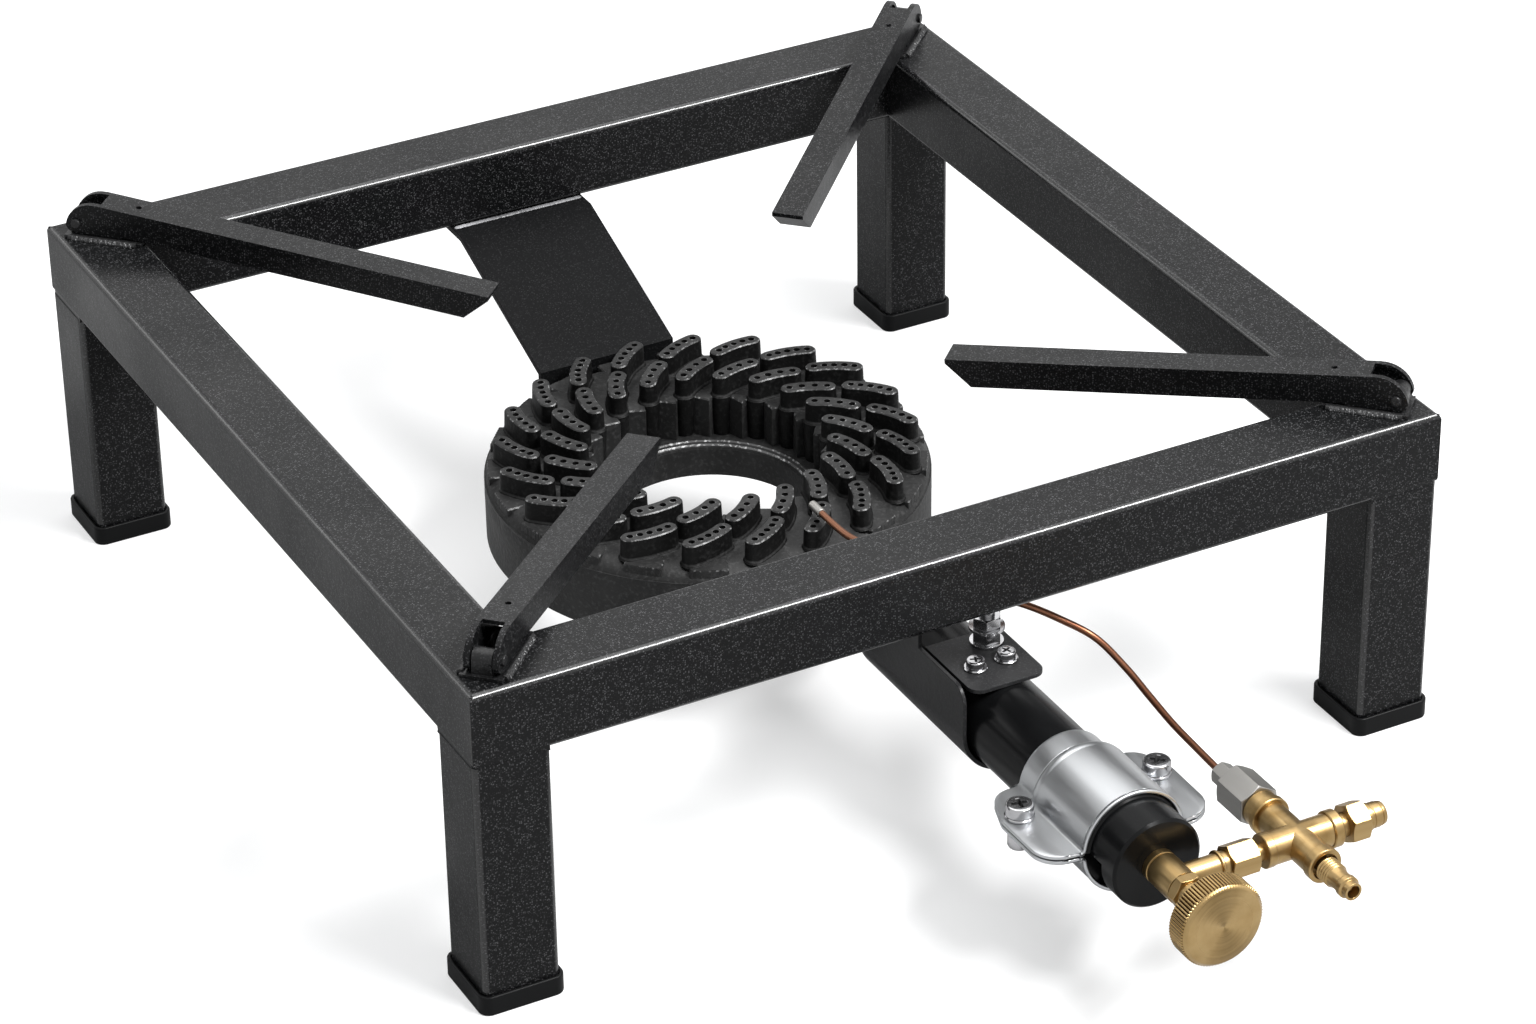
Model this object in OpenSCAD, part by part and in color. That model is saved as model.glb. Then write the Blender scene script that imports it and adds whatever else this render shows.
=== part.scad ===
// Gas burner stove: a square tube stand with four folding pot arms, a cast ring burner,
// its mixing tube, a brass needle valve and a flame guard valve with a probe tube.
// +X runs along the front rail, -Y is the side of the valve, +Z is up, millimetres.
// The stand's feet are at z = 0. The row's origin is the middle of the whole outline.

/* [Stand] */
// Outer side of the square stand
frame_side = 400; // [340:5:480]
// Height of the stand's top face
frame_h = 134; // [120:1:180]
// Side of the square steel tube
rail_side = 30; // [28:1:36]
// Wall of the square steel tube
rail_wall = 1.5; // [1.2:0.1:2.5]
// Rounding of the tube's edges
rail_round = 2.6; // [2:0.1:4]
// Wall of the plastic foot cap
cap_wall = 1.7; // [1.2:0.1:3]
// Height of the foot cap
cap_h = 8; // [6:0.5:14]
// Floor of the foot cap
cap_floor = 2.5; // [1.5:0.1:4]
// Play between a foot cap and its leg
cap_play = 0.15; // [0.1:0.05:0.3]

/* [Pot arms] */
// Length of an arm from its hinge pin to its tip
arm_len = 174; // [120:1:182]
// Width of an arm
arm_w = 13; // [12:0.5:16]
// Depth of an arm's channel section
arm_h = 11.5; // [10:0.5:14]
// Sheet thickness of an arm
arm_sheet = 1.5; // [1.2:0.1:2]
// Slope of an arm towards its tip, degrees
arm_droop = 6; // [4:0.5:7]
// Length of the slanted cut under the tip
tip_cut = 9.5; // [6:0.5:14]
// Radius of the rounded nose at the hinge
nose_r = 12; // [11.5:0.1:12.5]
// Radius of the hinge pin
pin_r = 2; // [1.6:0.1:2.2]
// Running play around the hinge pin
pin_play = 0.08; // [0.04:0.01:0.1]
// Pin's distance from the stand's outer corner
pin_set = 16.4; // [15:0.2:20]
// Pin's height over the stand's top face
pin_lift = 6.5; // [6.3:0.1:8]
// Radius of the knuckle that carries the pin
knuckle_r = 3.7; // [3.4:0.1:4]
// Width of the knuckle
knuckle_w = 7.6; // [6:0.1:8]
// Length of the base plate under a hinge
base_len = 33; // [28:1:34]
// Thickness of the base plate
base_t = 1.5; // [1:0.1:2]
// Radius of the weld beads beside the base plate
bead_r = 1.6; // [1:0.1:2]

/* [Ring burner] */
// Sideways place of the ring from the stand's middle
ring_x = -6; // [-8:0.5:0]
// Outer radius of the ring
ring_r = 88; // [80:1:100]
// Radius of the hole in the middle
hole_r = 40; // [34:0.5:42]
// Height of the ring's underside
ring_low = 41; // [36:1:44]
// Height of the ring's deck
ring_deck = 73; // [72:1:78]
// Wall of the castings
cast_t = 4; // [3:0.5:5]
// Angle of the first outer rib, degrees
rib_start = 3; // [0:1:17]
// Turn of the inner row of ribs against the outer row, degrees
rib_turn = -3; // [-8:1:8]
// Ribs in each of the two rows
rib_count = 21; // [12:1:24]
// Height of a rib over the deck
rib_h = 9; // [5:0.5:12]
// Width of a rib
rib_w = 7; // [5:0.1:7.5]
// Length of an outer rib along its middle line
rib_len_out = 23.5; // [14:0.5:24.5]
// Length of an inner rib along its middle line
rib_len_in = 22.5; // [12:0.5:23]
// Slant of the outer ribs from the radius, degrees
rib_slant_out = 48; // [42:1:60]
// Slant of the inner ribs from the radius, degrees
rib_slant_in = 40; // [35:1:50]
// Bend radius of the ribs
rib_bend = 36; // [30:1:80]
// Gas ports in an outer rib
ports_out = 5; // [3:1:5]
// Gas ports in an inner rib
ports_in = 4; // [2:1:4]
// Radius of a gas port
port_r = 0.9; // [0.6:0.1:1.2]

/* [Mixing tube] */
// Sideways place of the mixing tube from the stand's middle
tube_x = 13; // [4:0.5:16]
// Height of the mixing tube's middle line
tube_z = 57; // [56:0.5:58]
// Outer radius of the mixing tube
tube_r = 16.85; // [15:0.05:17]
// Wall of the mixing tube
tube_wall = 3; // [2.4:0.1:3.5]
// Front end of the mixing tube from the ring's middle
tube_reach = 284; // [276:1:286]
// Radius of the tube's end in the casting
spigot_r = 13.4; // [12:0.1:13.4]
// Outer radius of the air cup
cup_r = 18; // [17.9:0.1:18.6]
// Length of the air cup
cup_len = 43; // [40:1:48]
// How far the air cup's face stands before the mixing tube's end
cup_proud = 21; // [19:0.5:23]

/* [Clamp] */
// Sheet of the clamp shells
clamp_sheet = 1.4; // [1:0.1:2]
// Length of a clamp shell
clamp_len = 49; // [46:1:52]
// Length of the shell's narrow band
band_len = 12; // [9:1:16]
// Screw's distance from the tube's middle line
ear_set = 28.5; // [28:0.1:32]
// Radius of the clamp screws
clamp_screw_r = 2.5; // [2:0.1:3]

/* [Hangers] */
// Radius of the cradle's round floor
cradle_r = 20; // [19.5:0.1:22]
// Sheet of the cradle and cover plate
hanger_sheet = 1.6; // [1.2:0.1:2]
// Width of the cover plate
plate_w = 31; // [26:0.5:32]
// Length of the cover plate
plate_len = 36; // [34:1:40]
// Width of the rear strip
strip_w = 60; // [40:1:80]
// Thickness of the rear strip
strip_t = 2.5; // [2:0.1:4]

/* [Brass valve] */
// Radius of the knob
knob_r = 16.7; // [12:0.1:18]
// Thickness of the knob's rim
knob_t = 10.5; // [8:0.5:13]
// Ridges around the knob
knob_ridges = 60; // [36:2:72]
// Distance from the tube's middle line to the cross
cross_set = 50.3; // [48:0.1:56]
// Radius of the cross's arms
cross_r = 6.2; // [6.1:0.1:7]
// Travel of the flame guard's button
button_travel = 3; // [2:0.5:3]
// Radius of the flame guard's button
button_r = 4.6; // [4.2:0.1:4.6]
// Radius of the gas inlet's hose band
inlet_r = 4.8; // [4.2:0.1:5]
// Radius of the probe tube
probe_r = 1.4; // [1:0.1:1.5]

/* [Hidden] */
$fn = 96;
bite = 0.02;
seat = 0.05;

half = frame_side / 2;
rail_mid = half - rail_side / 2;
leg_top = frame_h - rail_side;

pin_x = half * sqrt(2) - pin_set;
pin_z = frame_h + pin_lift;
base_outer = 5;
heel_drop = pin_lift - base_t - 0.3;
nose_x = nose_r - 4.5;
nose_z = -2.4;
web_step = 0.1;
arm_rise = nose_r + nose_z + web_step;
arm_low = arm_rise - arm_h;
arm_in = arm_w - 2 * arm_sheet;
tip_t = 1.7;
slot_w = knuckle_w + 0.8;
slot_end = 9.5;
pin_len = arm_w + 2.4;
inner_corner = pin_x - (half - rail_side) * sqrt(2);

trough_top = ring_deck - 5;
ledge_z = ring_low + 12;
rim_flat = ring_r - 8;
shelf_r = ring_r - 1.5;
rib_mid_out = ring_r - 12.5;
rib_mid_in = hole_r + 16.5;
pitch = 360 / rib_count;
rib_end_x = rib_mid_in - (rib_len_in - rib_w) / 2 * cos(rib_slant_in);
rib_end_y = (rib_len_in - rib_w) / 2 * sin(rib_slant_in);
rib_end_r = norm([rib_end_x, rib_end_y]);
rib_end_a = rib_start + rib_turn + atan2(rib_end_y, rib_end_x);
flute_out = rib_end_r - rib_w / 2 + 1.4;
flute_in = max(hole_r + 3.6, flute_out - 4);
ring_screw_r = ring_r - 24;
ring_screw_shank = 2.5;
boss_r = tube_z - ring_low;
boss_reach = ring_r + 16;
tube_off = tube_x - ring_x;
spigot_depth = 11.5;
port_bore = spigot_r - tube_wall;

grip_r = cup_r + 1;
tube_hug = tube_r + 0.05;
cup_hug = grip_r + 0.05;
cup_reach = tube_reach + cup_proud;
cup_back = cup_reach - cup_len;
cup_face = 3;
slot_len = 10.5;
clamp_hold = 44;
clamp_back = tube_reach - clamp_hold;
clamp_front = clamp_back + clamp_len;
ear_gap = 0.6;
ear_top = ear_gap / 2 + clamp_sheet;
clamp_screw_at = clamp_back + 18;
washer_t = 1.2;
clamp_head_h = 4.5;
clamp_nut_len = 9;

cradle_back = 124;
cradle_front = 203;
cradle_mid = cradle_r - hanger_sheet - tube_r - 0.3;
wall_top = 21;
lip_top = 1;
tab_back = 150;
tab_top = frame_h - 16 - tube_z;
plate_low = tube_r + 0.1;
plate_top = plate_low + hanger_sheet;
plate_front = 203;
stud_at = 175;
stud_x = 6;
stud_r = 3;
screw_row_at = 188.5;
screw_row_x = 6.5;
plate_screw_r = 1.9;
rail_under = leg_top - tube_z;

strip_bend = half - 38;
strip_foot = ring_low + 11;
strip_screw_x = 12;
strip_screw_z = ring_low + 18;
strip_screw_r = 2.5;

valve_at = cup_reach + 11;
body_r = 6.5;
neck_r = 5;
spindle_r = 3;
seat_r = 2;
chamber_r = 3.5;
gland_r = 4;
gland_at = valve_at + 6;
gland_end = gland_at + 9;
knob_at = valve_at + 22;
pipe_r = 4.75;
pipe_bore = 2.2;

cross_x = tube_x + cross_set;
guard_r = 5;
disc_at = 3.3;
magnet_at = 10 + button_travel + 0.4;
magnet_end = 32;
collar_end = 23.7;
nut_end = 40.5;
probe_nut_end = 49.5;
bush_at = 14.6;
bush_end = 18.9;
button_end = 36.5;
button_chamber = 3.4;
flange_at = 6 + button_travel;
probe_start = valve_at - magnet_end - 1;
clip_at = 138;
clip_z = ring_deck + rib_h + 9;
probe_turn = 181;
probe_run = valve_at - probe_nut_end - probe_turn;

front_reach = valve_at + button_end;
frame_y = (front_reach - half - cap_wall) / 2;

function polar(r, a) = [r * cos(a), r * sin(a)];
function cross3(a, b) = [
    a[1] * b[2] - a[2] * b[1],
    a[2] * b[0] - a[0] * b[2],
    a[0] * b[1] - a[1] * b[0]
];
function unit(v) = v / norm(v);

// Point on a smooth curve through the route, t counts route points
function catmull(p, t) =
    let (
        n = len(p),
        i = min(floor(t), n - 2),
        u = t - i,
        a = p[max(i - 1, 0)],
        b = p[i],
        c = p[i + 1],
        d = p[min(i + 2, n - 1)]
    )
    (2 * b + (c - a) * u + (2 * a - 5 * b + 4 * c - d) * u * u
        + (3 * b - a - 3 * c + d) * u * u * u) / 2;

// Frame carried along a path without twist, one side vector per point
function carried(path, i, v) =
    let (t = unit(path[min(i + 1, len(path) - 1)] - path[max(i - 1, 0)]))
    unit(v - (v * t) * t);
function sides(path, v0, i = 0, out = []) =
    i == len(path) ? out
    : let (v = carried(path, i, i == 0 ? v0 : out[i - 1]))
      sides(path, v0, i + 1, concat(out, [v]));

module sweep(path, r, n, start_side) {
    m = len(path);
    side = sides(path, start_side);
    ring = [
        for (i = [0 : m - 1])
            let (
                t = unit(path[min(i + 1, m - 1)] - path[max(i - 1, 0)]),
                w = cross3(t, side[i])
            )
            for (k = [0 : n - 1]) path[i] + r * (cos(360 * k / n) * side[i] + sin(360 * k / n) * w)
    ];
    quads = [
        for (i = [0 : m - 2])
            for (k = [0 : n - 1])
                [i * n + k, i * n + (k + 1) % n, (i + 1) * n + (k + 1) % n, (i + 1) * n + k]
    ];
    first = [for (k = [0 : n - 1]) n - 1 - k];
    last = [for (k = [0 : n - 1]) (m - 1) * n + k];
    polyhedron(points = ring, faces = concat(quads, [first, last]), convexity = 8);
}

module about_stand() {
    translate([0, frame_y, 0]) children();
}

module about_ring() {
    translate([ring_x, frame_y, 0]) children();
}

// Local z runs forward from the ring's middle along the mixing tube, local y is up
module along_tube() {
    translate([tube_x, frame_y, tube_z]) rotate([90, 0, 0]) children();
}

module at_cross() {
    translate([cross_x, frame_y - valve_at, tube_z]) children();
}

// Upright piece drawn from the tube's middle line
module upright(x, at) {
    translate([x, 0, at]) rotate([-90, 0, 0]) children();
}

module soft_square(side, r) {
    square([side - 2 * r, side], center = true);
    square([side, side - 2 * r], center = true);
    for (x = [-1, 1])
        for (y = [-1, 1])
            translate([x * (side / 2 - r), y * (side / 2 - r)]) circle(r);
}

module square_tube() {
    difference() {
        soft_square(rail_side, rail_round);
        soft_square(rail_side - 2 * rail_wall, rail_round - rail_wall);
    }
}

module rod(r, h, z = 0) {
    translate([0, 0, z]) cylinder(r = r, h = h);
}

module pipe(r_out, r_in, h, z = 0) {
    difference() {
        rod(r_out, h, z);
        rod(r_in, h + 2, z - 1);
    }
}

// Rod with both end edges broken
module soft_rod(r, h, z, c) {
    translate([0, 0, z]) rotate_extrude()
        polygon([[0, 0], [r - c, 0], [r, c], [r, h - c], [r - c, h], [0, h]]);
}

module hex_bar(flats, h, z) {
    translate([0, 0, z]) cylinder(r = flats / sqrt(3), h = h, $fn = 6);
}

// Six sided nut with its corners turned off at both ends
module hex_nut(flats, h, z, bore) {
    r = flats / sqrt(3);
    c = r - flats / 2 + 0.1;
    difference() {
        intersection() {
            hex_bar(flats, h, z);
            translate([0, 0, z]) rotate_extrude()
                polygon([[0, 0], [r - c, 0], [r, c * 0.6], [r, h - c * 0.6], [r - c, h], [0, h]]);
        }
        rod(bore, h + 2, z - 1);
    }
}

module cross_slot(w, depth, reach) {
    translate([-reach, -w / 2, -depth]) cube([2 * reach, w, depth + 1]);
    translate([-w / 2, -reach, -depth]) cube([w, 2 * reach, depth + 1]);
}

module rail(a) {
    about_stand() rotate(a) intersection() {
        translate([-half, -rail_mid, frame_h - rail_side / 2])
            rotate([90, 0, 90]) linear_extrude(frame_side) square_tube();
        translate([0, 0, leg_top - 1]) linear_extrude(rail_side + 2)
            polygon([[0, 0], [-half - 5, -half - 5], [half + 5, -half - 5]]);
    }
}

module front_rail() {
    color("#2b2c2d") rail(0);
}

module right_rail() {
    color("#2b2c2d") rail(90);
}

module back_rail() {
    color("#2b2c2d") rail(180);
}

module left_rail() {
    color("#2b2c2d") rail(270);
}

module leg(sx, sy) {
    about_stand() translate([sx * rail_mid, sy * rail_mid, cap_floor + seat])
        linear_extrude(leg_top - cap_floor - seat) square_tube();
}

module leg_front_left() {
    color("#262728") leg(-1, -1);
}

module leg_front_right() {
    color("#262728") leg(1, -1);
}

module leg_back_right() {
    color("#262728") leg(1, 1);
}

module leg_back_left() {
    color("#262728") leg(-1, 1);
}

module foot_cap() {
    outer = rail_side + 2 * cap_wall;
    difference() {
        linear_extrude(cap_h) soft_square(outer, rail_round + cap_wall);
        translate([0, 0, cap_floor]) linear_extrude(cap_h)
            soft_square(rail_side + 2 * cap_play, rail_round + cap_play);
    }
}

module foot_caps() {
    color("#151515") about_stand()
        for (sx = [-1, 1])
            for (sy = [-1, 1])
                translate([sx * rail_mid, sy * rail_mid, 0]) foot_cap();
}

// Local x runs inward from the hinge pin, local z is up from the pin's middle line
module at_pin(a) {
    about_stand() rotate(a) translate([pin_x, 0, pin_z]) rotate(180) children();
}

module across(w) {
    rotate([90, 0, 0]) linear_extrude(w, center = true) children();
}

module hinge_base() {
    difference() {
        union() {
            translate([-base_outer, -8, -pin_lift]) cube([base_len, 16, base_t]);
            translate([-knuckle_r, -knuckle_w / 2, -pin_lift + base_t - bite])
                cube([2 * knuckle_r, knuckle_w, pin_lift - base_t]);
            rotate([90, 0, 0]) cylinder(r = knuckle_r, h = knuckle_w, center = true);
            intersection() {
                for (y = [-8, 8])
                    translate([-base_outer + 2, y, -pin_lift + 0.5])
                        rotate([0, 90, 0]) cylinder(r = bead_r, h = base_len - 4);
                translate([-base_outer, -12, -pin_lift]) cube([base_len, 24, 6]);
            }
        }
        rotate([90, 0, 0]) cylinder(r = pin_r + pin_play, h = 20, center = true);
    }
}

module hinge_front_left() {
    color("#39393a") at_pin(225) hinge_base();
}

module hinge_front_right() {
    color("#39393a") at_pin(315) hinge_base();
}

module hinge_back_right() {
    color("#39393a") at_pin(45) hinge_base();
}

module hinge_back_left() {
    color("#39393a") at_pin(135) hinge_base();
}

module arm_bar() {
    polygon([
        [nose_x, arm_rise], [arm_len, arm_rise], [arm_len, arm_rise - tip_t],
        [arm_len - tip_cut, arm_low], [nose_x - 1, arm_low]
    ]);
}

module arm_hollow() {
    inside = arm_rise - arm_sheet;
    slope = tip_cut / (arm_h - tip_t);
    back = arm_sheet * sqrt(1 + slope * slope);
    end = arm_len - back;
    polygon([
        [nose_x, inside], [end, inside], [end, arm_rise - tip_t],
        [end - tip_cut - slope * 4, arm_low - 4], [nose_x - 1, arm_low - 4]
    ]);
}

module nose(r, w) {
    translate([nose_x, 0, nose_z]) rotate([90, 0, 0]) cylinder(r = r, h = w, center = true);
}

// Corner of the cheeks behind the pin, turned off so that the arm clears its base as it folds
module heel_corner() {
    difference() {
        translate([-30, -20, -40]) cube([30, 40, 40]);
        rotate([90, 0, 0]) cylinder(r = heel_drop + seat, h = 50, center = true);
    }
}

module arm() {
    difference() {
        rotate([0, arm_droop, 0]) difference() {
            union() {
                across(arm_w) arm_bar();
                nose(nose_r, arm_w);
            }
            across(arm_in) arm_hollow();
            nose(nose_r - arm_sheet, arm_in);
            translate([-20, -slot_w / 2, -30]) cube([20 + slot_end, slot_w, 60]);
            rotate([90, 0, 0]) cylinder(r = pin_r + bite, h = 30, center = true);
            translate([24, 0, 0]) rod(1.2, 20);
        }
        translate([-30, -20, -heel_drop - 40])
            cube([30 + base_len - base_outer + 0.5, 40, 40]);
        translate([-30, -20, -pin_lift - 40 + 0.3])
            cube([30 + inner_corner + arm_w / 2 + 1, 40, 40]);
        heel_corner();
    }
}

module arm_front_left() {
    color("#303132") at_pin(225) arm();
}

module arm_front_right() {
    color("#303132") at_pin(315) arm();
}

module arm_back_right() {
    color("#303132") at_pin(45) arm();
}

module arm_back_left() {
    color("#303132") at_pin(135) arm();
}

module hinge_pin() {
    rotate([90, 0, 0]) soft_rod(pin_r, pin_len, -pin_len / 2, 0.3);
}

module pin_front_left() {
    color("#4a4a4a") at_pin(225) hinge_pin();
}

module pin_front_right() {
    color("#4a4a4a") at_pin(315) hinge_pin();
}

module pin_back_right() {
    color("#4a4a4a") at_pin(45) hinge_pin();
}

module pin_back_left() {
    color("#4a4a4a") at_pin(135) hinge_pin();
}

module at_ring_screws() {
    for (a = [45 : 90 : 315]) rotate(a) translate([ring_screw_r, 0, 0]) children();
}

module at_strip_screws() {
    for (x = [-1, 1])
        translate([x * strip_screw_x, ring_r, strip_screw_z]) rotate([-90, 0, 0]) children();
}

module burner_base() {
    in_r = hole_r + cast_t;
    out_r = ring_r - cast_t;
    floor_z = ring_low + cast_t;
    color("#242424") about_ring() difference() {
        union() {
            rotate_extrude() polygon([
                [hole_r, ring_low], [ring_r - 2, ring_low], [ring_r, ring_low + 2],
                [ring_r, trough_top], [out_r, trough_top], [out_r, floor_z],
                [in_r, floor_z], [in_r, ledge_z], [hole_r, ledge_z]
            ]);
            difference() {
                translate([tube_off, 0, tube_z]) rotate([90, 0, 0])
                    rod(boss_r, boss_reach - out_r + 10, out_r - 10);
                rod(out_r + 0.5, trough_top, floor_z);
                rod(ring_r + 0.3, 40, trough_top);
            }
        }
        translate([tube_off, 0, tube_z]) rotate([90, 0, 0]) {
            rod(spigot_r + seat, spigot_depth + 1, boss_reach - spigot_depth);
            rod(port_bore, boss_reach - 70, 70);
        }
        at_ring_screws() rod(ring_screw_shank + 0.25, 20, ring_low - 5);
        at_strip_screws() rod(strip_screw_r + bite, 24, -14);
    }
}

// Curved bar in plan: its middle line passes mid and leans clockwise outward
module rib_plan(mid, slant, length) {
    lean = 90 - slant;
    w = rib_w / 2;
    span = (length / 2 - w) / rib_bend * 180 / PI;
    centre = [mid, 0] + polar(rib_bend, lean - 180);
    side_steps = 4;
    end_steps = 6;
    polygon(concat(
        [for (k = [0 : side_steps]) centre + polar(rib_bend + w, lean - span + 2 * span * k / side_steps)],
        [for (k = [1 : end_steps - 1])
            centre + polar(rib_bend, lean + span) + polar(w, lean + span + 180 * k / end_steps)],
        [for (k = [0 : side_steps]) centre + polar(rib_bend - w, lean + span - 2 * span * k / side_steps)],
        [for (k = [1 : end_steps - 1])
            centre + polar(rib_bend, lean - span) + polar(w, lean - span - 180 + 180 * k / end_steps)]
    ));
}

module rib_ports(mid, slant, length, count) {
    lean = -slant;
    reach = (length - rib_w) / 2 - 0.2;
    span = reach / rib_bend * 180 / PI;
    translate([mid, 0]) translate(polar(rib_bend, lean - 90))
        for (k = [0 : count - 1])
            translate(polar(rib_bend, lean + 90 - span + 2 * span * k / (count - 1))) circle(port_r);
}

module each_rib() {
    for (i = [0 : rib_count - 1]) rotate(rib_start + i * pitch) children();
}

module ribs_plan() {
    each_rib() {
        rib_plan(rib_mid_out, rib_slant_out, rib_len_out);
        rotate(rib_turn) rib_plan(rib_mid_in, rib_slant_in, rib_len_in);
    }
}

module ports_plan() {
    each_rib() {
        rib_ports(rib_mid_out, rib_slant_out, rib_len_out, ports_out);
        rotate(rib_turn) rib_ports(rib_mid_in, rib_slant_in, rib_len_in, ports_in);
    }
}

// Flat corner of the deck left between a rib and the rim
module shelf_plan() {
    end = asin(min(1, (rib_len_out / 2 - 1) * sin(rib_slant_out) / (ring_r - 5)));
    reach = pitch - 2 * end * 0.6;
    polygon(concat(
        [polar(rib_mid_out, 3), polar(ring_r - 5.5, -end)],
        [for (k = [0 : 5]) polar(shelf_r, -end + 0.6 + (reach - 0.6) * k / 5)],
        [polar(ring_r - 9, -end + reach)]
    ));
}

// Outline of the fluted wall round the middle hole: one saw tooth behind each inner rib
module flute_plan() {
    side = (rib_w / 2 + 0.4) / rib_end_r * 180 / PI;
    polygon([
        for (i = [0 : rib_count - 1])
            for (k = [0 : 2])
                polar(k == 2 ? flute_in : flute_out, rib_end_a + i * pitch + (k == 0 ? -side : side + k * 0.1))
    ]);
}

module burner_head() {
    wall_out = flute_out + 3.5;
    color("#2a2a2a") about_ring() difference() {
        union() {
            difference() {
                rotate_extrude() polygon([
                    [hole_r + 3, ledge_z + 2], [wall_out, ledge_z + 2], [wall_out, trough_top + seat],
                    [ring_r, trough_top + seat], [ring_r, trough_top + 1.6], [rim_flat, ring_deck],
                    [hole_r + 3, ring_deck]
                ]);
                translate([0, 0, ledge_z]) linear_extrude(ring_deck) flute_plan();
            }
            rotate_extrude() polygon([
                [hole_r + 1, ledge_z + seat], [wall_out, ledge_z + seat],
                [wall_out, ledge_z + 2.6], [flute_in - 0.9, ledge_z + 2.6], [hole_r + 1, ledge_z + 1.4]
            ]);
            translate([0, 0, ledge_z + 2]) linear_extrude(ring_deck - ledge_z - 1) intersection() {
                each_rib() rotate(rib_turn) rib_plan(rib_mid_in, rib_slant_in, rib_len_in);
                circle(wall_out - 0.5);
            }
            translate([0, 0, ring_deck - 1]) linear_extrude(rib_h + 1) ribs_plan();
            translate([0, 0, trough_top + 1]) linear_extrude(ring_deck - trough_top - 1)
                each_rib() shelf_plan();
            at_ring_screws() rod(5.5, trough_top - ring_low - cast_t + 1, ring_low + cast_t + seat);
        }
        translate([0, 0, trough_top - 1]) linear_extrude(30) ports_plan();
        at_ring_screws() rod(ring_screw_shank + bite, 18, ring_low);
    }
}

module burner_screws() {
    color("#8f9194") about_ring() at_ring_screws() difference() {
        union() {
            soft_rod(4.5, 3, ring_low - 3 - seat, 0.5);
            rod(ring_screw_shank, 17, ring_low - seat - bite);
        }
        translate([0, 0, ring_low - 3 - seat]) rotate([180, 0, 0]) cross_slot(1, 1.5, 2.6);
    }
}

module rear_strip() {
    top = leg_top;
    back = ring_r + 0.3;
    color("#3a3b3c") about_ring() difference() {
        translate([-strip_w / 2, 0, 0]) rotate([90, 0, 90]) linear_extrude(strip_w) {
            polygon([
                [half - 2, top], [strip_bend, top], [back, ring_deck + 2.4],
                [back, strip_foot], [back + strip_t, strip_foot], [back + strip_t, ring_deck + 0.6],
                [strip_bend + strip_t * 0.2, top - strip_t], [half - 2, top - strip_t]
            ]);
        }
        at_strip_screws() rod(strip_screw_r + 0.2, 40, -20);
    }
}

module strip_screws() {
    out = 0.3 + strip_t + seat;
    color("#8f9194") about_ring() at_strip_screws() difference() {
        union() {
            rod(5.4, 1, out);
            soft_rod(4.3, 3.4, out + 1 - bite, 0.4);
            rod(strip_screw_r, out + 8, -8);
        }
        translate([0, 0, out + 4.4]) rotate(30) cross_slot(1, 1.5, 2.6);
    }
}

module cradle_section() {
    difference() {
        union() {
            circle_at = cradle_mid;
            translate([0, circle_at]) circle(cradle_r);
            translate([-cradle_r, circle_at]) square([2 * cradle_r, wall_top - circle_at]);
        }
        translate([0, cradle_mid]) circle(cradle_r - hanger_sheet);
        translate([-cradle_r + hanger_sheet, cradle_mid])
            square([2 * (cradle_r - hanger_sheet), wall_top]);
        translate([0, lip_top]) square([cradle_r + 1, wall_top]);
    }
}

module cradle() {
    corner = 7;
    color("#303132") along_tube() {
        difference() {
            translate([0, 0, cradle_back]) linear_extrude(cradle_front - cradle_back) cradle_section();
            rotate([0, 90, 0]) linear_extrude(2 * cradle_r + 4, center = true) difference() {
                translate([-cradle_front - 1, wall_top - corner]) square([corner + 1, corner + 1]);
                translate([-cradle_front + corner, wall_top - corner]) circle(corner);
            }
        }
        translate([-cradle_r, wall_top - 1, tab_back])
            cube([hanger_sheet, tab_top - wall_top + 1, half - rail_side - tab_back - seat]);
    }
}

module plate_plan() {
    r = 5;
    w = plate_w / 2;
    translate([-w, plate_front - plate_len]) square([plate_w, plate_len - r]);
    translate([-w + r, plate_front - plate_len]) square([plate_w - 2 * r, plate_len]);
    for (s = [-1, 1]) translate([s * (w - r), plate_front - r]) circle(r);
}

module cover_plate() {
    color("#2c2d2e") along_tube() difference() {
        translate([0, plate_top, 0]) rotate([90, 0, 0]) linear_extrude(hanger_sheet) plate_plan();
        for (s = [-1, 1]) upright(s * screw_row_x, screw_row_at) rod(plate_screw_r + 0.2, 60);
        upright(stud_x, stud_at) rod(stud_r + bite, 60);
    }
}

module hanger_stud() {
    color("#8f9194") along_tube() upright(stud_x, stud_at)
        soft_rod(stud_r, rail_under - plate_low - seat, plate_low, 0.3);
}

module hanger_nut() {
    lock = plate_top + seat + 6.4;
    color("#9a9c9f") along_tube() upright(stud_x, stud_at) {
        pipe(6.4, stud_r + bite, 1.2, plate_top + seat);
        hex_nut(10, 5, plate_top + seat + 1.2, stud_r + bite);
        pipe(6.8, stud_r + bite, 1.2, lock);
        hex_nut(10, 4.4, lock + 1.2, stud_r + bite);
    }
}

module plate_screws() {
    top = plate_top + seat;
    color("#9a9c9f") along_tube() for (s = [-1, 1]) upright(s * screw_row_x, screw_row_at)
        difference() {
            union() {
                rod(4.6, 0.8, top);
                soft_rod(3.5, 3, top + 0.8 - bite, 0.4);
                rod(plate_screw_r, top + 0.5 - tube_r + tube_wall + 1, tube_r - tube_wall - 1);
            }
            translate([0, 0, top + 3.8]) rotate(20 * s) cross_slot(0.9, 1.2, 2.1);
        }
}

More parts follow.
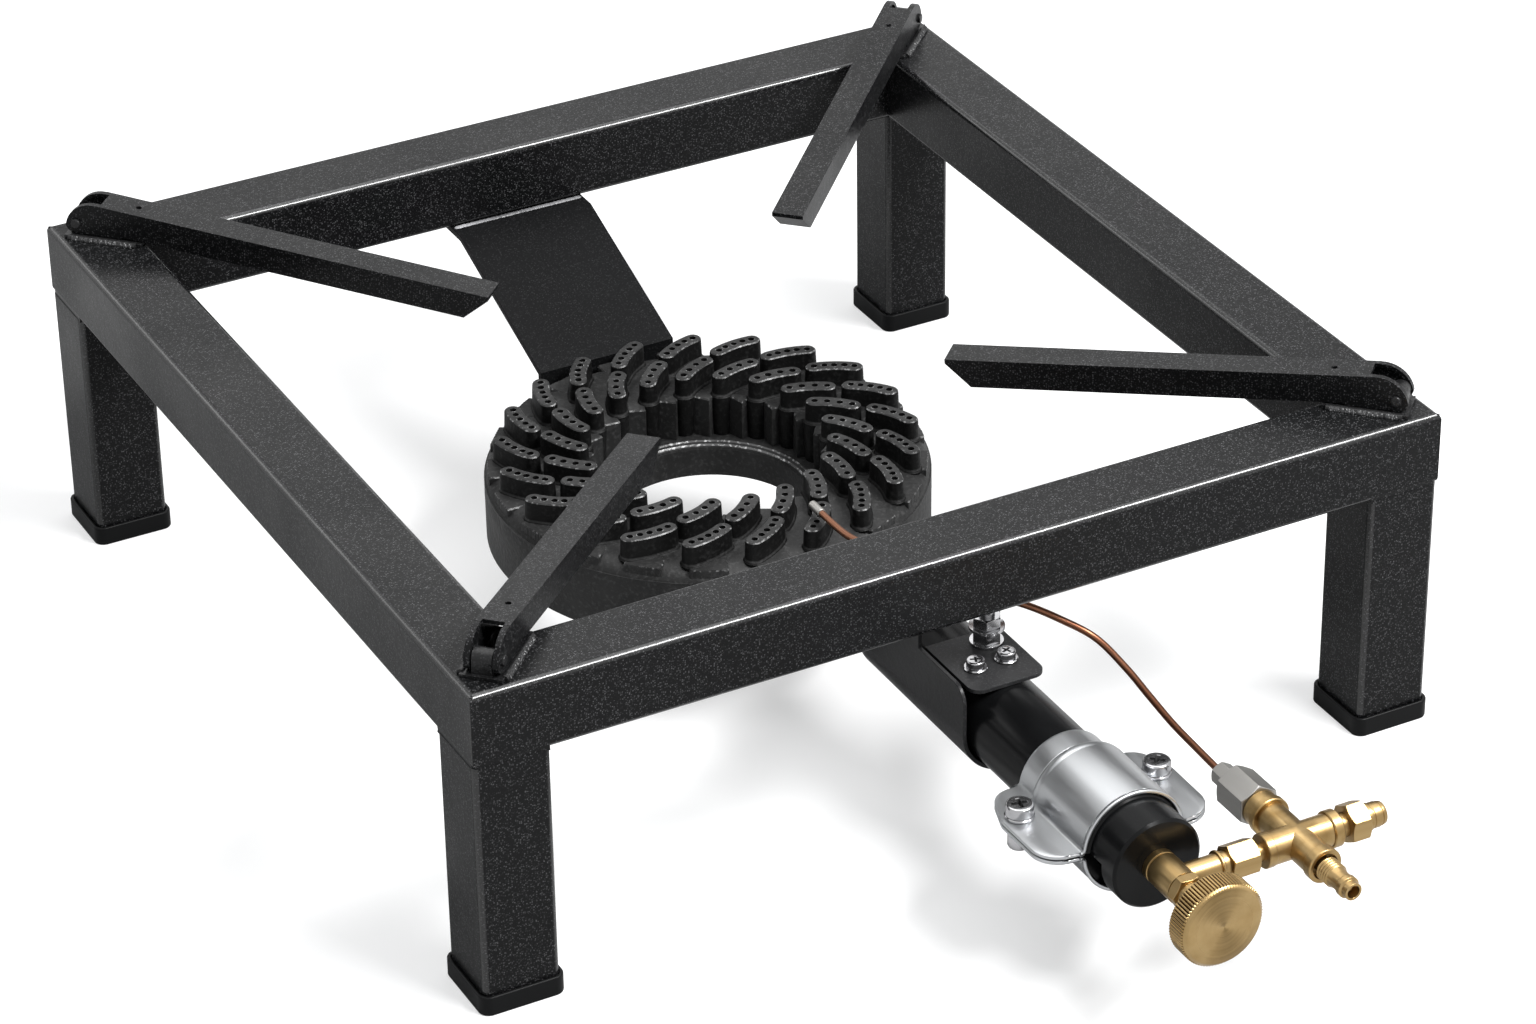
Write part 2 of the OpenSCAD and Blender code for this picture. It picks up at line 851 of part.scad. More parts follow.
module mixing_tube() {
    bore = tube_r - tube_wall;
    color("#1f1f20") along_tube() difference() {
        rotate_extrude() polygon([
            [port_bore, boss_reach - spigot_depth + 0.4], [spigot_r, boss_reach - spigot_depth + 0.4],
            [spigot_r, boss_reach + seat], [tube_r, boss_reach + seat], [tube_r, tube_reach],
            [bore, tube_reach], [bore, boss_reach + 14], [port_bore, boss_reach + 8]
        ]);
        for (s = [-1, 1]) upright(s * screw_row_x, screw_row_at) rod(plate_screw_r + bite, 30);
    }
}

module air_cup() {
    color("#1b1b1c") along_tube() difference() {
        rotate_extrude() polygon([
            [tube_r + seat, cup_back], [grip_r, cup_back], [grip_r, clamp_front - 1],
            [cup_r, clamp_front], [cup_r, cup_reach - 1], [cup_r - 1, cup_reach],
            [neck_r + 0.1, cup_reach], [neck_r + 0.1, cup_reach - cup_face],
            [tube_r - 2.4, cup_reach - cup_face], [tube_r - 2.4, tube_reach + seat],
            [tube_r + seat, tube_reach + seat]
        ]);
        for (a = [205, 335])
            rotate(a) translate([cup_r, 0, cup_reach - 13.5]) cube([10, 17, slot_len], center = true);
    }
}

module ear_plan() {
    translate([24, clamp_back + 9.5]) circle(8.5);
    translate([24.5, clamp_front - 12]) circle(10.8);
    translate([ear_set, clamp_screw_at + 1]) circle(7.4);
    translate([10, clamp_back + 3]) square([17, clamp_len - 8]);
}

module clamp_shell() {
    difference() {
        union() {
            intersection() {
                rotate_extrude() polygon([
                    [tube_hug, clamp_back], [tube_hug + clamp_sheet, clamp_back],
                    [tube_hug + clamp_sheet, clamp_back + band_len - 1],
                    [cup_hug + clamp_sheet, clamp_back + band_len + 2],
                    [cup_hug + clamp_sheet, clamp_front], [cup_hug, clamp_front],
                    [cup_hug, clamp_back + band_len + 2.4], [tube_hug, clamp_back + band_len - 0.6]
                ]);
                translate([-40, ear_gap / 2, clamp_back - 1]) cube([80, 40, clamp_len + 2]);
            }
            translate([0, ear_top, 0]) rotate([90, 0, 0]) linear_extrude(clamp_sheet)
                for (s = [0, 1]) mirror([s, 0]) ear_plan();
        }
        rod(tube_hug, band_len + 30, clamp_back - 30);
        rod(cup_hug, 60, clamp_back + band_len + 2.4);
        translate([0, 0, clamp_back + band_len - 0.6]) cylinder(r1 = tube_hug, r2 = cup_hug, h = 3.02);
        for (s = [-1, 1]) upright(s * ear_set, clamp_screw_at) rod(clamp_screw_r + 0.2, 20);
    }
}

module clamp_upper() {
    color("#b9bdc1") along_tube() clamp_shell();
}

module clamp_lower() {
    color("#a9adb1") along_tube() mirror([0, 1, 0]) clamp_shell();
}

module clamp_screws() {
    head_z = ear_top + seat + washer_t;
    color("#b5b7ba") along_tube() for (s = [-1, 1]) upright(s * ear_set, clamp_screw_at)
        difference() {
            union() {
                rod(5.8, washer_t, ear_top + seat);
                soft_rod(5.2, clamp_head_h, head_z - bite, 0.5);
                rod(clamp_screw_r, head_z + ear_top + clamp_nut_len, -ear_top - clamp_nut_len);
            }
            translate([0, 0, head_z + clamp_head_h]) rotate(25 * s) cross_slot(1.2, 1.8, 3.1);
        }
}

module clamp_nuts() {
    color("#9a9c9f") along_tube() for (s = [-1, 1]) upright(s * ear_set, clamp_screw_at)
        pipe(4.25, clamp_screw_r + bite, clamp_nut_len - seat, -ear_top - clamp_nut_len);
}

module injector() {
    back = cup_reach - 22;
    color("#c8963c") along_tube() difference() {
        union() {
            translate([0, 0, back]) cylinder(r1 = 1.6, r2 = 3.4, h = 4);
            rod(3.4, 5, back + 3.9);
            hex_bar(9, 5, back + 8.8);
        }
        rod(0.45, 20, back - 1);
        rod(1.6, 12, back + 5);
    }
}

module valve_body() {
    back = cup_reach - 8.1;
    seat_at = valve_at - 4;
    color("#cfa14e") along_tube() difference() {
        rotate_extrude() polygon([
            [1.6, back], [neck_r, back], [neck_r, cup_reach + seat],
            [body_r - 0.05, cup_reach + seat], [body_r - 0.05, cup_reach + 2.6],
            [body_r - 0.6, cup_reach + 2.8], [body_r - 0.6, cup_reach + 3.2],
            [body_r, cup_reach + 3.4], [body_r, gland_at], [gland_r + seat, gland_at],
            [gland_r + seat, gland_at - 4], [chamber_r, gland_at - 4], [chamber_r, seat_at],
            [seat_r, seat_at], [1.6, seat_at - 3]
        ]);
        translate([0, 0, valve_at]) rotate([0, 90, 0]) {
            rod(pipe_bore, 5);
            rod(pipe_r + bite, 20, body_r - 2.2);
        }
    }
}

module gland_nut() {
    color("#c99a45") along_tube() difference() {
        union() {
            rod(gland_r, 4, gland_at - 3.5);
            hex_nut(12.4, 4.4, gland_at + seat, 1);
            soft_rod(5.5, gland_end - gland_at - 4.4, gland_at + 4.4, 0.5);
        }
        rod(spindle_r + 0.06, 30, gland_at - 10);
    }
}

module spindle() {
    tip = valve_at - 5.8;
    color("#d6c9a4") along_tube() rotate_extrude() polygon([
        [0, tip], [0.6, tip], [spindle_r, tip + 3.5],
        [spindle_r, knob_at + 7.3], [spindle_r - 0.3, knob_at + 7.6], [0, knob_at + 7.6]
    ]);
}

// Rim with straight ridges, plan view
module knob_plan() {
    polygon([
        for (i = [0 : knob_ridges - 1])
            for (k = [0 : 3])
                polar(k == 1 || k == 2 ? knob_r : knob_r - 0.6, (i + k * 0.25) * 360 / knob_ridges)
    ]);
}

module knob() {
    front = knob_at + knob_t;
    color("#d2a553") along_tube() difference() {
        union() {
            intersection() {
                translate([0, 0, knob_at]) linear_extrude(knob_t) knob_plan();
                rotate_extrude() polygon([
                    [0, knob_at], [knob_r - 1.2, knob_at], [knob_r + 0.2, knob_at + 1.2],
                    [knob_r + 0.2, front - 1.6], [knob_r - 1.6, front], [0, front]
                ]);
            }
            rod(6.2, 2.5, knob_at - 2.5 + bite);
        }
        rod(spindle_r + 0.04, 20, knob_at + 8 - 20);
    }
}

module union_nut() {
    color("#d0a24c") at_cross() rotate([0, -90, 0]) difference() {
        hex_nut(12, 11.3, 18.1, 3.55);
        rod(pipe_r + seat, 20, 22);
    }
}

module link_pipe() {
    start = body_r - 2.1;
    color("#cb9c48") translate([tube_x, frame_y - valve_at, tube_z]) rotate([0, 90, 0])
        difference() {
            union() {
                rod(pipe_r, cross_set - 22.1 - start, start);
                soft_rod(5.75, 1.4, 17, 0.3);
            }
            rod(pipe_bore, 60);
        }
}

module toward(a) {
    rotate(a) rotate([0, 90, 0]) children();
}

module cross_body() {
    color("#cfa14e") at_cross() difference() {
        union() {
            sphere(cross_r);
            toward(0) {
                rod(cross_r, 12.6);
                soft_rod(7, 4, 12.6 - bite, 0.4);
                rod(4.5, 5.3, 16.5);
            }
            toward(90) {
                rod(cross_r, 16);
                soft_rod(7.75, 3.2, 15.9, 0.4);
                soft_rod(7, collar_end - 18.9, 18.9, 0.3);
            }
            toward(180) {
                rod(cross_r, 11.5);
                soft_rod(6.5, 3.3, 11.4, 0.3);
                rod(3.5, 7.3, 14.6);
            }
            toward(270) rod(cross_r, bush_at);
        }
        toward(0) rod(pipe_bore, 30, 4.4);
        toward(90) rod(guard_r, 30, 3);
        toward(180) rod(pipe_bore, 30);
        toward(270) {
            rod(guard_r, 30, button_chamber);
            rod(pipe_bore, 10, -4);
        }
        translate([4.6, 0, 0]) toward(90) rod(1, 4);
    }
}

module inlet_nut() {
    color("#d4a752") at_cross() toward(0) difference() {
        hex_nut(13.5, 7.8, 20, 4.55);
        rod(5.6, 2.7, 21.9);
    }
}

module inlet_tail() {
    r = inlet_r;
    color("#d8ac58") at_cross() toward(0) rotate_extrude() polygon([
        [2.5, 21.9], [5.4, 21.9], [5.4, 24.4], [4.3, 24.6], [4.3, 28.1], [r + 0.4, 28.2],
        [r + 0.4, 30], [r - 0.3, 30.3], [r - 0.3, 30.9], [r, 31], [r, 33.6],
        [r - 0.6, 33.8], [r - 0.6, 34.3], [r - 0.2, 34.5], [r - 0.6, 36], [2.5, 36]
    ]);
}

module magnet_nut() {
    color("#a3a29c") at_cross() toward(90) difference() {
        union() {
            hex_nut(15, nut_end - collar_end - seat, collar_end + seat, 2);
            rod(guard_r - seat, 4, collar_end - 3.9);
        }
        rod(4.7, magnet_end + 0.1 - 10, 10);
        rod(2.2, 60);
    }
}

module magnet_unit() {
    color("#8c8c8c") at_cross() toward(90) difference() {
        rod(4.6, magnet_end - magnet_at, magnet_at);
        translate([0, 0, magnet_at - 1]) pipe(3.4, 2.2, 2);
    }
}

module valve_disc() {
    color("#3b3b3b") at_cross() toward(90) {
        soft_rod(3.9, 1.8, disc_at, 0.2);
        rod(1, 4, disc_at + 1.7);
        soft_rod(3.4, 1.6, 8.4, 0.2);
    }
}

// One unbroken wire tube: turns, mean radius, wire radius, start and length
module coil(turns, mean_r, wire_r, start, length) {
    rings = 8;
    run = length - 2 * wire_r;
    steps = turns * rings;
    path = [
        for (i = [0 : steps])
            [
                mean_r * cos(360 * i / rings), mean_r * sin(360 * i / rings),
                start + wire_r + run * i / steps
            ]
    ];
    echo(least_coil_gap = run / turns - 2 * wire_r);
    sweep(path, wire_r, 6, [1, 0, 0]);
}

module valve_spring() {
    color("#bfc2c4") at_cross() toward(90)
        coil(5, 4.15, 0.3, disc_at + 1.9, magnet_at - disc_at - 2);
}

module button_spring() {
    color("#bfc2c4") at_cross() toward(270)
        coil(3, 3.3, 0.35, button_chamber + 0.1, flange_at - button_chamber - 0.2);
}

module button_bush() {
    color("#c99a45") at_cross() toward(270) rotate_extrude() polygon([
        [spindle_r + 0.08, flange_at + 1.8], [guard_r - seat, flange_at + 1.8],
        [guard_r - seat, bush_at + seat], [6.85, bush_at + seat], [6.85, bush_end - 0.4],
        [6.45, bush_end], [guard_r, bush_end], [guard_r, bush_at + 0.8],
        [spindle_r + 0.08, bush_at + 0.8]
    ]);
}

module button() {
    r = button_r;
    grip = bush_end + 0.4;
    ridge = 1.3;
    ridges = 5;
    wave = [
        for (i = [0 : ridges - 1])
            for (k = [0 : 3])
                [k == 1 || k == 2 ? r : r - 0.4, grip + 0.2 + (i + 0.15 + 0.23 * k) * ridge]
    ];
    end = button_end;
    color("#d8ac58") at_cross() toward(270) rotate_extrude() polygon(concat(
        [
            [0, -2.9], [1.2, -2.9], [1.5, -2.6], [1.5, flange_at], [4.4, flange_at],
            [4.4, flange_at + 1.5], [spindle_r, flange_at + 1.5], [spindle_r, grip], [r - 0.4, grip]
        ],
        wave,
        [
            [r - 0.85, end - 8.4], [r - 0.85, end - 5.6], [r - 0.35, end - 5.2],
            [r - 0.35, end - 3], [r - 1.2, end - 2.6], [r - 1.2, end], [2.45, end],
            [2.45, end - 4], [0, end - 5]
        ]
    ));
}

module probe_nut() {
    color("#8e8d88") at_cross() toward(90) {
        hex_nut(8, probe_nut_end - nut_end - 2.95, nut_end + 2.9, probe_r + 0.1);
        pipe(3.4, probe_r + 0.1, 3, nut_end + seat);
    }
}

// Route of the probe tube from the guard valve, over the mixing tube, to the ring
function probe_route() = [
    [cross_x, -probe_start, tube_z],
    [cross_x, -(valve_at - probe_nut_end), tube_z],
    [cross_x + 0.3, -probe_turn - 0.807 * probe_run, tube_z + 0.5],
    [cross_x + 0.1, -probe_turn - 0.62 * probe_run, tube_z + 2],
    [cross_x - 0.1, -probe_turn - 0.433 * probe_run, tube_z + 5],
    [cross_x - 1.3, -probe_turn - 0.257 * probe_run, tube_z + 9.5],
    [cross_x - 5.8, -probe_turn - 0.094 * probe_run, tube_z + 16],
    [tube_x + 34, -probe_turn, tube_z + 23],
    [tube_x + 23, -174.5, clip_z - 5],
    [tube_x + 13, -168.5, clip_z - 1.5],
    [tube_x + 6, -160, clip_z + 0.3],
    [tube_x + 1.8, -149, clip_z + 0.5],
    [tube_x, -clip_at, clip_z],
    [tube_x - 3, -126, clip_z - 1],
    [tube_x - 8, -114, clip_z - 2.5],
    [tube_x - 10.5, -104, clip_z - 4],
    [tube_x - 11.2, -94, clip_z - 4.8],
    [tube_x - 11.2, -80, clip_z - 5]
];

module probe_tube() {
    p = probe_route();
    steps = 5;
    n = (len(p) - 1) * steps;
    path = [for (i = [0 : n]) catmull(p, i / steps)];
    color("#b87143") about_stand() sweep(path, probe_r, 12, [1, 0, 0]);
}

module probe_tip() {
    color("#a9a7a2") about_stand() translate([tube_x - 11.2, -79.9, clip_z - 5])
        rotate([-90, 0, 0]) soft_rod(probe_r + 0.4, 8, 0, 0.4);
}

module probe_clip() {
    w = 8;
    low = tube_z + tube_r + 0.1;
    t = 1.4;
    color("#3a3b3c") about_stand() translate([tube_x - w / 2, 0, 0]) difference() {
        union() {
            translate([0, -clip_at - t / 2, low]) cube([w, t, clip_z + 3 - low]);
            translate([0, -clip_at - t / 2, low]) cube([w, 11, t]);
        }
        translate([w / 2, -clip_at - 5, clip_z]) rotate([-90, 0, 0]) rod(probe_r + 0.3, 10);
    }
}

front_rail();
right_rail();
back_rail();
left_rail();
leg_front_left();
leg_front_right();
leg_back_right();
leg_back_left();
foot_caps();
hinge_front_left();
hinge_front_right();
hinge_back_right();
hinge_back_left();
arm_front_left();
arm_front_right();
arm_back_right();
arm_back_left();
pin_front_left();
pin_front_right();
pin_back_right();
pin_back_left();
burner_base();
burner_head();
burner_screws();
rear_strip();
strip_screws();
cradle();
cover_plate();
hanger_stud();
hanger_nut();
plate_screws();
mixing_tube();
air_cup();
clamp_upper();
clamp_lower();
clamp_screws();
clamp_nuts();
injector();
valve_body();
gland_nut();
spindle();
knob();
union_nut();
link_pipe();
cross_body();
inlet_nut();
inlet_tail();
magnet_nut();
magnet_unit();
valve_disc();
valve_spring();
button();
button_bush();
button_spring();
probe_nut();
probe_tube();
probe_tip();
probe_clip();
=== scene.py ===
import math
import random
import bmesh
import bpy
from mathutils import Euler, Matrix, Vector, noise
from mathutils.geometry import tessellate_polygon


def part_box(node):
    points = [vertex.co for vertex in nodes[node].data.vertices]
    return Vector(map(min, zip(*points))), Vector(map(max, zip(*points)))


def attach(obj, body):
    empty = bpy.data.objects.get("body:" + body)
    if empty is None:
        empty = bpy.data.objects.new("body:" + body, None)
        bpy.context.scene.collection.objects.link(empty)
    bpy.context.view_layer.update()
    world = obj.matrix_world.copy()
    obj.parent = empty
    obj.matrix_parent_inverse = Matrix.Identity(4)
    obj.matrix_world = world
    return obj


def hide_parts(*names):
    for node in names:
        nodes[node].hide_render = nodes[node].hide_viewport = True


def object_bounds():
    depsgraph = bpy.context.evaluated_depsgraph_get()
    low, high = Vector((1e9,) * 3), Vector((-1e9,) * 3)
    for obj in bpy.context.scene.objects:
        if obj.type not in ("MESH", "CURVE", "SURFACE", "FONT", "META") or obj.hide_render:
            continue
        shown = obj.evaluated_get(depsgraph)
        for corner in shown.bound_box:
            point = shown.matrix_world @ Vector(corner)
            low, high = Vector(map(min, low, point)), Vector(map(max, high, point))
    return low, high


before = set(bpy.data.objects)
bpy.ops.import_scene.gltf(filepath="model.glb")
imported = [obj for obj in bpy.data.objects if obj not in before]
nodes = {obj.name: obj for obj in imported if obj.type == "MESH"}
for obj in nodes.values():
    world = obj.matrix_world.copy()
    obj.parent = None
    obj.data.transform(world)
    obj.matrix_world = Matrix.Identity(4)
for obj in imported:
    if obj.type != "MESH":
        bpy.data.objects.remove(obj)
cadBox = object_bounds()
mm = 0.001
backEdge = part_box("back_rail")[1].y
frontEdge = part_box("front_rail")[0].y
# The stand's middle lies this far along +Y from the frame's origin, the middle of the outline
standY = (backEdge + frontEdge) / 2
print("frame loaded, stand middle at y", round(standY, 5))


# A point given in millimetres about the stand's middle, on the floor
def atStand(x, y, z):
    return Vector((x * mm, y * mm + standY, z * mm))


# Camera fitted to the stand's corners, aimed above the stand's middle
cameraSpec = {
    "yaw": 0.48077951,
    "pitch": 0.53769444,
    "roll": -0.01555077,
    "distance": 1.976984,
    "across": -0.0188008,
    "rise": 0.0466841,
    "aimHeight": 0.1,
    "lens": 118.645,
    "sensor": 36,
    "clip": (0.05, 30),
}


def makeCamera(spec):
    yaw, pitch, roll = spec["yaw"], spec["pitch"], spec["roll"]
    right = Vector((math.cos(yaw), -math.sin(yaw), 0))
    level = math.cos(pitch)
    ahead = Vector((math.sin(yaw) * level, math.cos(yaw) * level, -math.sin(pitch)))
    up = right.cross(ahead)
    rightRolled = math.cos(roll) * right + math.sin(roll) * up
    upRolled = -math.sin(roll) * right + math.cos(roll) * up
    place = Vector((0, standY, spec["aimHeight"])) - ahead * spec["distance"]
    place -= rightRolled * spec["across"] + upRolled * spec["rise"]
    data = bpy.data.cameras.new("camera")
    data.lens = spec["lens"]
    data.sensor_width = spec["sensor"]
    data.clip_start, data.clip_end = spec["clip"]
    camera = bpy.data.objects.new("camera", data)
    bpy.context.scene.collection.objects.link(camera)
    turn = Matrix((rightRolled, upRolled, -ahead)).transposed()
    camera.matrix_world = Matrix.Translation(place) @ turn.to_4x4()
    bpy.context.scene.camera = camera


makeCamera(cameraSpec)


# Small helpers for node trees
def addNode(tree, kind, inputs=None, **settings):
    node = tree.nodes.new(kind)
    for name, value in settings.items():
        setattr(node, name, value)
    for name, value in (inputs or {}).items():
        socket = node.inputs[name]
        if isinstance(value, bpy.types.NodeSocket):
            tree.links.new(value, socket)
        else:
            socket.default_value = value
    return node


def addMath(tree, operation, a, b=0.0, clamp=False):
    node = tree.nodes.new("ShaderNodeMath")
    node.operation = operation
    node.use_clamp = clamp
    for socket, value in zip(node.inputs, (a, b)):
        if isinstance(value, bpy.types.NodeSocket):
            tree.links.new(value, socket)
        else:
            socket.default_value = value
    return node.outputs[0]


def addVector(tree, operation, *values):
    return addNode(tree, "ShaderNodeVectorMath", dict(enumerate(values)), operation=operation)


def scaled(tree, value, factor, clamp=False):
    return addMath(tree, "MULTIPLY", value, factor, clamp)


def addMix(tree, factor, a, b):
    node = tree.nodes.new("ShaderNodeMix")
    node.data_type = "RGBA"
    for index, value in ((0, factor), (6, a), (7, b)):
        if isinstance(value, bpy.types.NodeSocket):
            tree.links.new(value, node.inputs[index])
        else:
            node.inputs[index].default_value = value
    return node.outputs[2]


def addRamp(tree, source, low, high):
    node = tree.nodes.new("ShaderNodeMapRange")
    node.inputs["From Min"].default_value = low
    node.inputs["From Max"].default_value = high
    tree.links.new(source, node.inputs["Value"])
    return node.outputs["Result"]


# Every group takes a vector and gives masks, values and heights
def startGroup(name, outputs):
    tree = bpy.data.node_groups.new(name, "ShaderNodeTree")
    tree.interface.new_socket(name="Vector", in_out="INPUT", socket_type="NodeSocketVector")
    for outName in outputs:
        tree.interface.new_socket(name=outName, in_out="OUTPUT", socket_type="NodeSocketFloat")
    return tree, tree.nodes.new("NodeGroupInput").outputs[0], tree.nodes.new("NodeGroupOutput")


def addNoise(tree, vector, scale, detail):
    inputs = {"Vector": vector, "Scale": scale, "Detail": detail}
    return addNode(tree, "ShaderNodeTexNoise", inputs).outputs[0]


# Powder coat: orange peel, slow mottling and fine bright grains, which are painted glints
paintGrain = {
    "mottle": 22.0,
    "fine": 900.0,
    "fineShare": 0.5,
    "peel": 320.0,
    "grains": 1500.0,
    "grainReach": 0.42,
    "rarity": 2.5,
}


def makePaintGrain(spec):
    tree, vector, out = startGroup("paintGrain", ["Tone", "Sparkle", "Height"])
    slow = addNoise(tree, vector, spec["mottle"], 3.0)
    fine = addNoise(tree, vector, spec["fine"], 2.0)
    peel = addNoise(tree, vector, spec["peel"], 1.0)
    cells = addNode(tree, "ShaderNodeTexVoronoi", {"Vector": vector, "Scale": spec["grains"]})
    pick = addNode(tree, "ShaderNodeSeparateColor", {"Color": cells.outputs["Color"]})
    dots = addMath(tree, "LESS_THAN", cells.outputs["Distance"], spec["grainReach"])
    rare = addMath(tree, "POWER", pick.outputs[0], spec["rarity"])
    tree.links.new(slow, out.inputs["Tone"])
    tree.links.new(scaled(tree, dots, rare), out.inputs["Sparkle"])
    height = addMath(tree, "ADD", scaled(tree, fine, spec["fineShare"]), peel)
    tree.links.new(height, out.inputs["Height"])
    return tree


# Sand casting: coarse grain, pits and dusty high spots
castGrain = {
    "mottle": 45.0,
    "grain": 620.0,
    "lumps": 420.0,
    "lumpRise": 0.8,
    "dustRange": (0.52, 0.72),
}


def makeCastGrain(spec):
    tree, vector, out = startGroup("castGrain", ["Tone", "Dust", "Height"])
    slow = addNoise(tree, vector, spec["mottle"], 4.0)
    grain = addNoise(tree, vector, spec["grain"], 3.0)
    cells = {"Vector": vector, "Scale": spec["lumps"]}
    lumps = addNode(tree, "ShaderNodeTexVoronoi", cells, feature="SMOOTH_F1").outputs["Distance"]
    height = addMath(tree, "ADD", grain, scaled(tree, lumps, spec["lumpRise"]))
    tree.links.new(slow, out.inputs["Tone"])
    tree.links.new(addRamp(tree, grain, *spec["dustRange"]), out.inputs["Dust"])
    tree.links.new(height, out.inputs["Height"])
    return tree


# Streaks drawn out along one direction, from scaled coordinates
streakScales = {"fine": 260.0, "slow": 24.0}


def makeStreaks(spec):
    tree, vector, out = startGroup("streaks", ["Fine", "Slow"])
    tree.links.new(addNoise(tree, vector, spec["fine"], 4.0), out.inputs["Fine"])
    tree.links.new(addNoise(tree, vector, spec["slow"], 2.0), out.inputs["Slow"])
    return tree


# Turned metal: the distance from an axis gives the rings, and the angle about it the sectors
turnScales = {"rings": 2600.0, "stain": 160.0, "bands": 900.0}


def makeTurning(spec):
    tree, vector, out = startGroup("turning", ["Rings", "Stain", "Bands", "Angle"])
    spread = addVector(tree, "LENGTH", vector)
    along = addNode(tree, "ShaderNodeCombineXYZ", {"X": spread.outputs["Value"]})
    parts = addNode(tree, "ShaderNodeSeparateXYZ", {0: vector})
    tree.links.new(addNoise(tree, along.outputs[0], spec["rings"], 3.0), out.inputs["Rings"])
    tree.links.new(addNoise(tree, vector, spec["stain"], 3.0), out.inputs["Stain"])
    tree.links.new(addNoise(tree, along.outputs[0], spec["bands"], 2.0), out.inputs["Bands"])
    angle = addMath(tree, "ARCTAN2", parts.outputs[2], parts.outputs[0])
    tree.links.new(angle, out.inputs["Angle"])
    return tree


# Mask of rounded edges on parts whose flat faces look along the axes, from the object's normal
edgeRange = (0.01, 0.07)


def makeEdgeMask(low, high):
    tree, vector, out = startGroup("edgeMask", ["Edge"])
    size = addVector(tree, "ABSOLUTE", vector)
    parts = addNode(tree, "ShaderNodeSeparateXYZ", {0: size.outputs[0]})
    level = addMath(tree, "MAXIMUM", parts.outputs[0], parts.outputs[1])
    most = addMath(tree, "MAXIMUM", level, parts.outputs[2])
    edge = addRamp(tree, addMath(tree, "SUBTRACT", 1.0, most), low, high)
    tree.links.new(edge, out.inputs["Edge"])
    return tree


groups = {
    "edge": makeEdgeMask(*edgeRange),
    "paint": makePaintGrain(paintGrain),
    "cast": makeCastGrain(castGrain),
    "streaks": makeStreaks(streakScales),
    "turning": makeTurning(turnScales),
}
print("node groups made")


def startMaterial(name):
    material = bpy.data.materials.new(name)
    material.use_nodes = True
    tree = material.node_tree
    shader = tree.nodes["Principled BSDF"]
    place = tree.nodes.new("ShaderNodeTexCoord").outputs["Object"]
    return material, tree, shader, place


def useGroup(tree, key, vector):
    node = tree.nodes.new("ShaderNodeGroup")
    node.node_tree = groups[key]
    tree.links.new(vector, node.inputs["Vector"])
    return node.outputs


def addBump(tree, shader, height, strength, distance):
    inputs = {"Height": height, "Strength": strength, "Distance": distance}
    bump = addNode(tree, "ShaderNodeBump", inputs)
    tree.links.new(bump.outputs[0], shader.inputs["Normal"])


# Powder coat, plastic and gloss paint, with an optional shine on the rounded edges
def makePaint(name, spec):
    material, tree, shader, place = startMaterial(name)
    grain = useGroup(tree, "paint", place)
    tone = addRamp(tree, grain["Tone"], *spec["toneRange"])
    base = addMix(tree, tone, spec["dark"], spec["light"])
    # painted glints: bright grains mixed into the base colour stand in for light glinting off the
    # coat
    paintedGlints = scaled(tree, grain["Sparkle"], spec["sparkle"])
    tree.links.new(addMix(tree, paintedGlints, base, spec["paintedGlint"]), shader.inputs["Base Color"])
    matt = addRamp(tree, grain["Tone"], *spec["roughRange"])
    rough = addMath(tree, "ADD", scaled(tree, matt, spec["roughSpread"]), spec["roughness"])
    glossy = addRamp(tree, grain["Tone"], *spec["shineRange"])
    shine = addMath(tree, "ADD", scaled(tree, glossy, spec["specularSpread"]), spec["specular"])
    if "edgeShine" in spec:
        normal = addNode(tree, "ShaderNodeTexCoord").outputs["Normal"]
        edge = useGroup(tree, "edge", normal)["Edge"]
        shine = addMath(tree, "ADD", shine, scaled(tree, edge, spec["edgeShine"]))
        rough = addMath(tree, "SUBTRACT", rough, scaled(tree, edge, spec["edgeSmooth"]))
    tree.links.new(rough, shader.inputs["Roughness"])
    tree.links.new(shine, shader.inputs["Specular IOR Level"])
    addBump(tree, shader, grain["Height"], spec["bump"], spec["bumpDepth"])
    return material


powderSpec = {
    "dark": (0.0022, 0.0023, 0.0025, 1),
    "light": (0.0055, 0.0057, 0.006, 1),
    "paintedGlint": (0.15, 0.15, 0.155, 1),
    "toneRange": (0.3, 0.7),
    "roughRange": (0.2, 0.8),
    "shineRange": (0.75, 0.2),
    "sparkle": 0.45,
    "specular": 0.1,
    "specularSpread": 0.06,
    "roughness": 0.25,
    "roughSpread": 0.12,
    "bump": 0.6,
    "bumpDepth": 0.0001,
}
railSpec = dict(powderSpec, edgeShine=0.45, edgeSmooth=0.1)
plainPaintSpec = dict(
    powderSpec, sparkle=0.0, bump=0.08, roughness=0.2, roughSpread=0.06, specular=0.09
)
sheetPaintSpec = dict(
    powderSpec, sparkle=0.1, bump=0.25, roughness=0.34, specular=0.04, specularSpread=0.02
)
# painted light: a lighter copy of the powder coat for the cradle and cover plate, which sit in
# shade
paintedLightSheetSpec = dict(
    powderSpec, dark=(0.012, 0.012, 0.0125, 1), light=(0.026, 0.026, 0.027, 1), sparkle=0.2
)
plasticSpec = dict(powderSpec, sparkle=0.0, bump=0.15, roughness=0.34, specular=0.08)
rubberSpec = dict(plasticSpec, roughness=0.6)
# painted shade: a dark copy of the plastic paint for the insides of the screw recesses
recessShadeSpec = dict(plasticSpec, light=(0.05, 0.05, 0.05, 1))
weldSpec = dict(
    powderSpec, light=(0.012, 0.012, 0.0125, 1), sparkle=0.2, bumpDepth=0.0004, specular=0.25
)
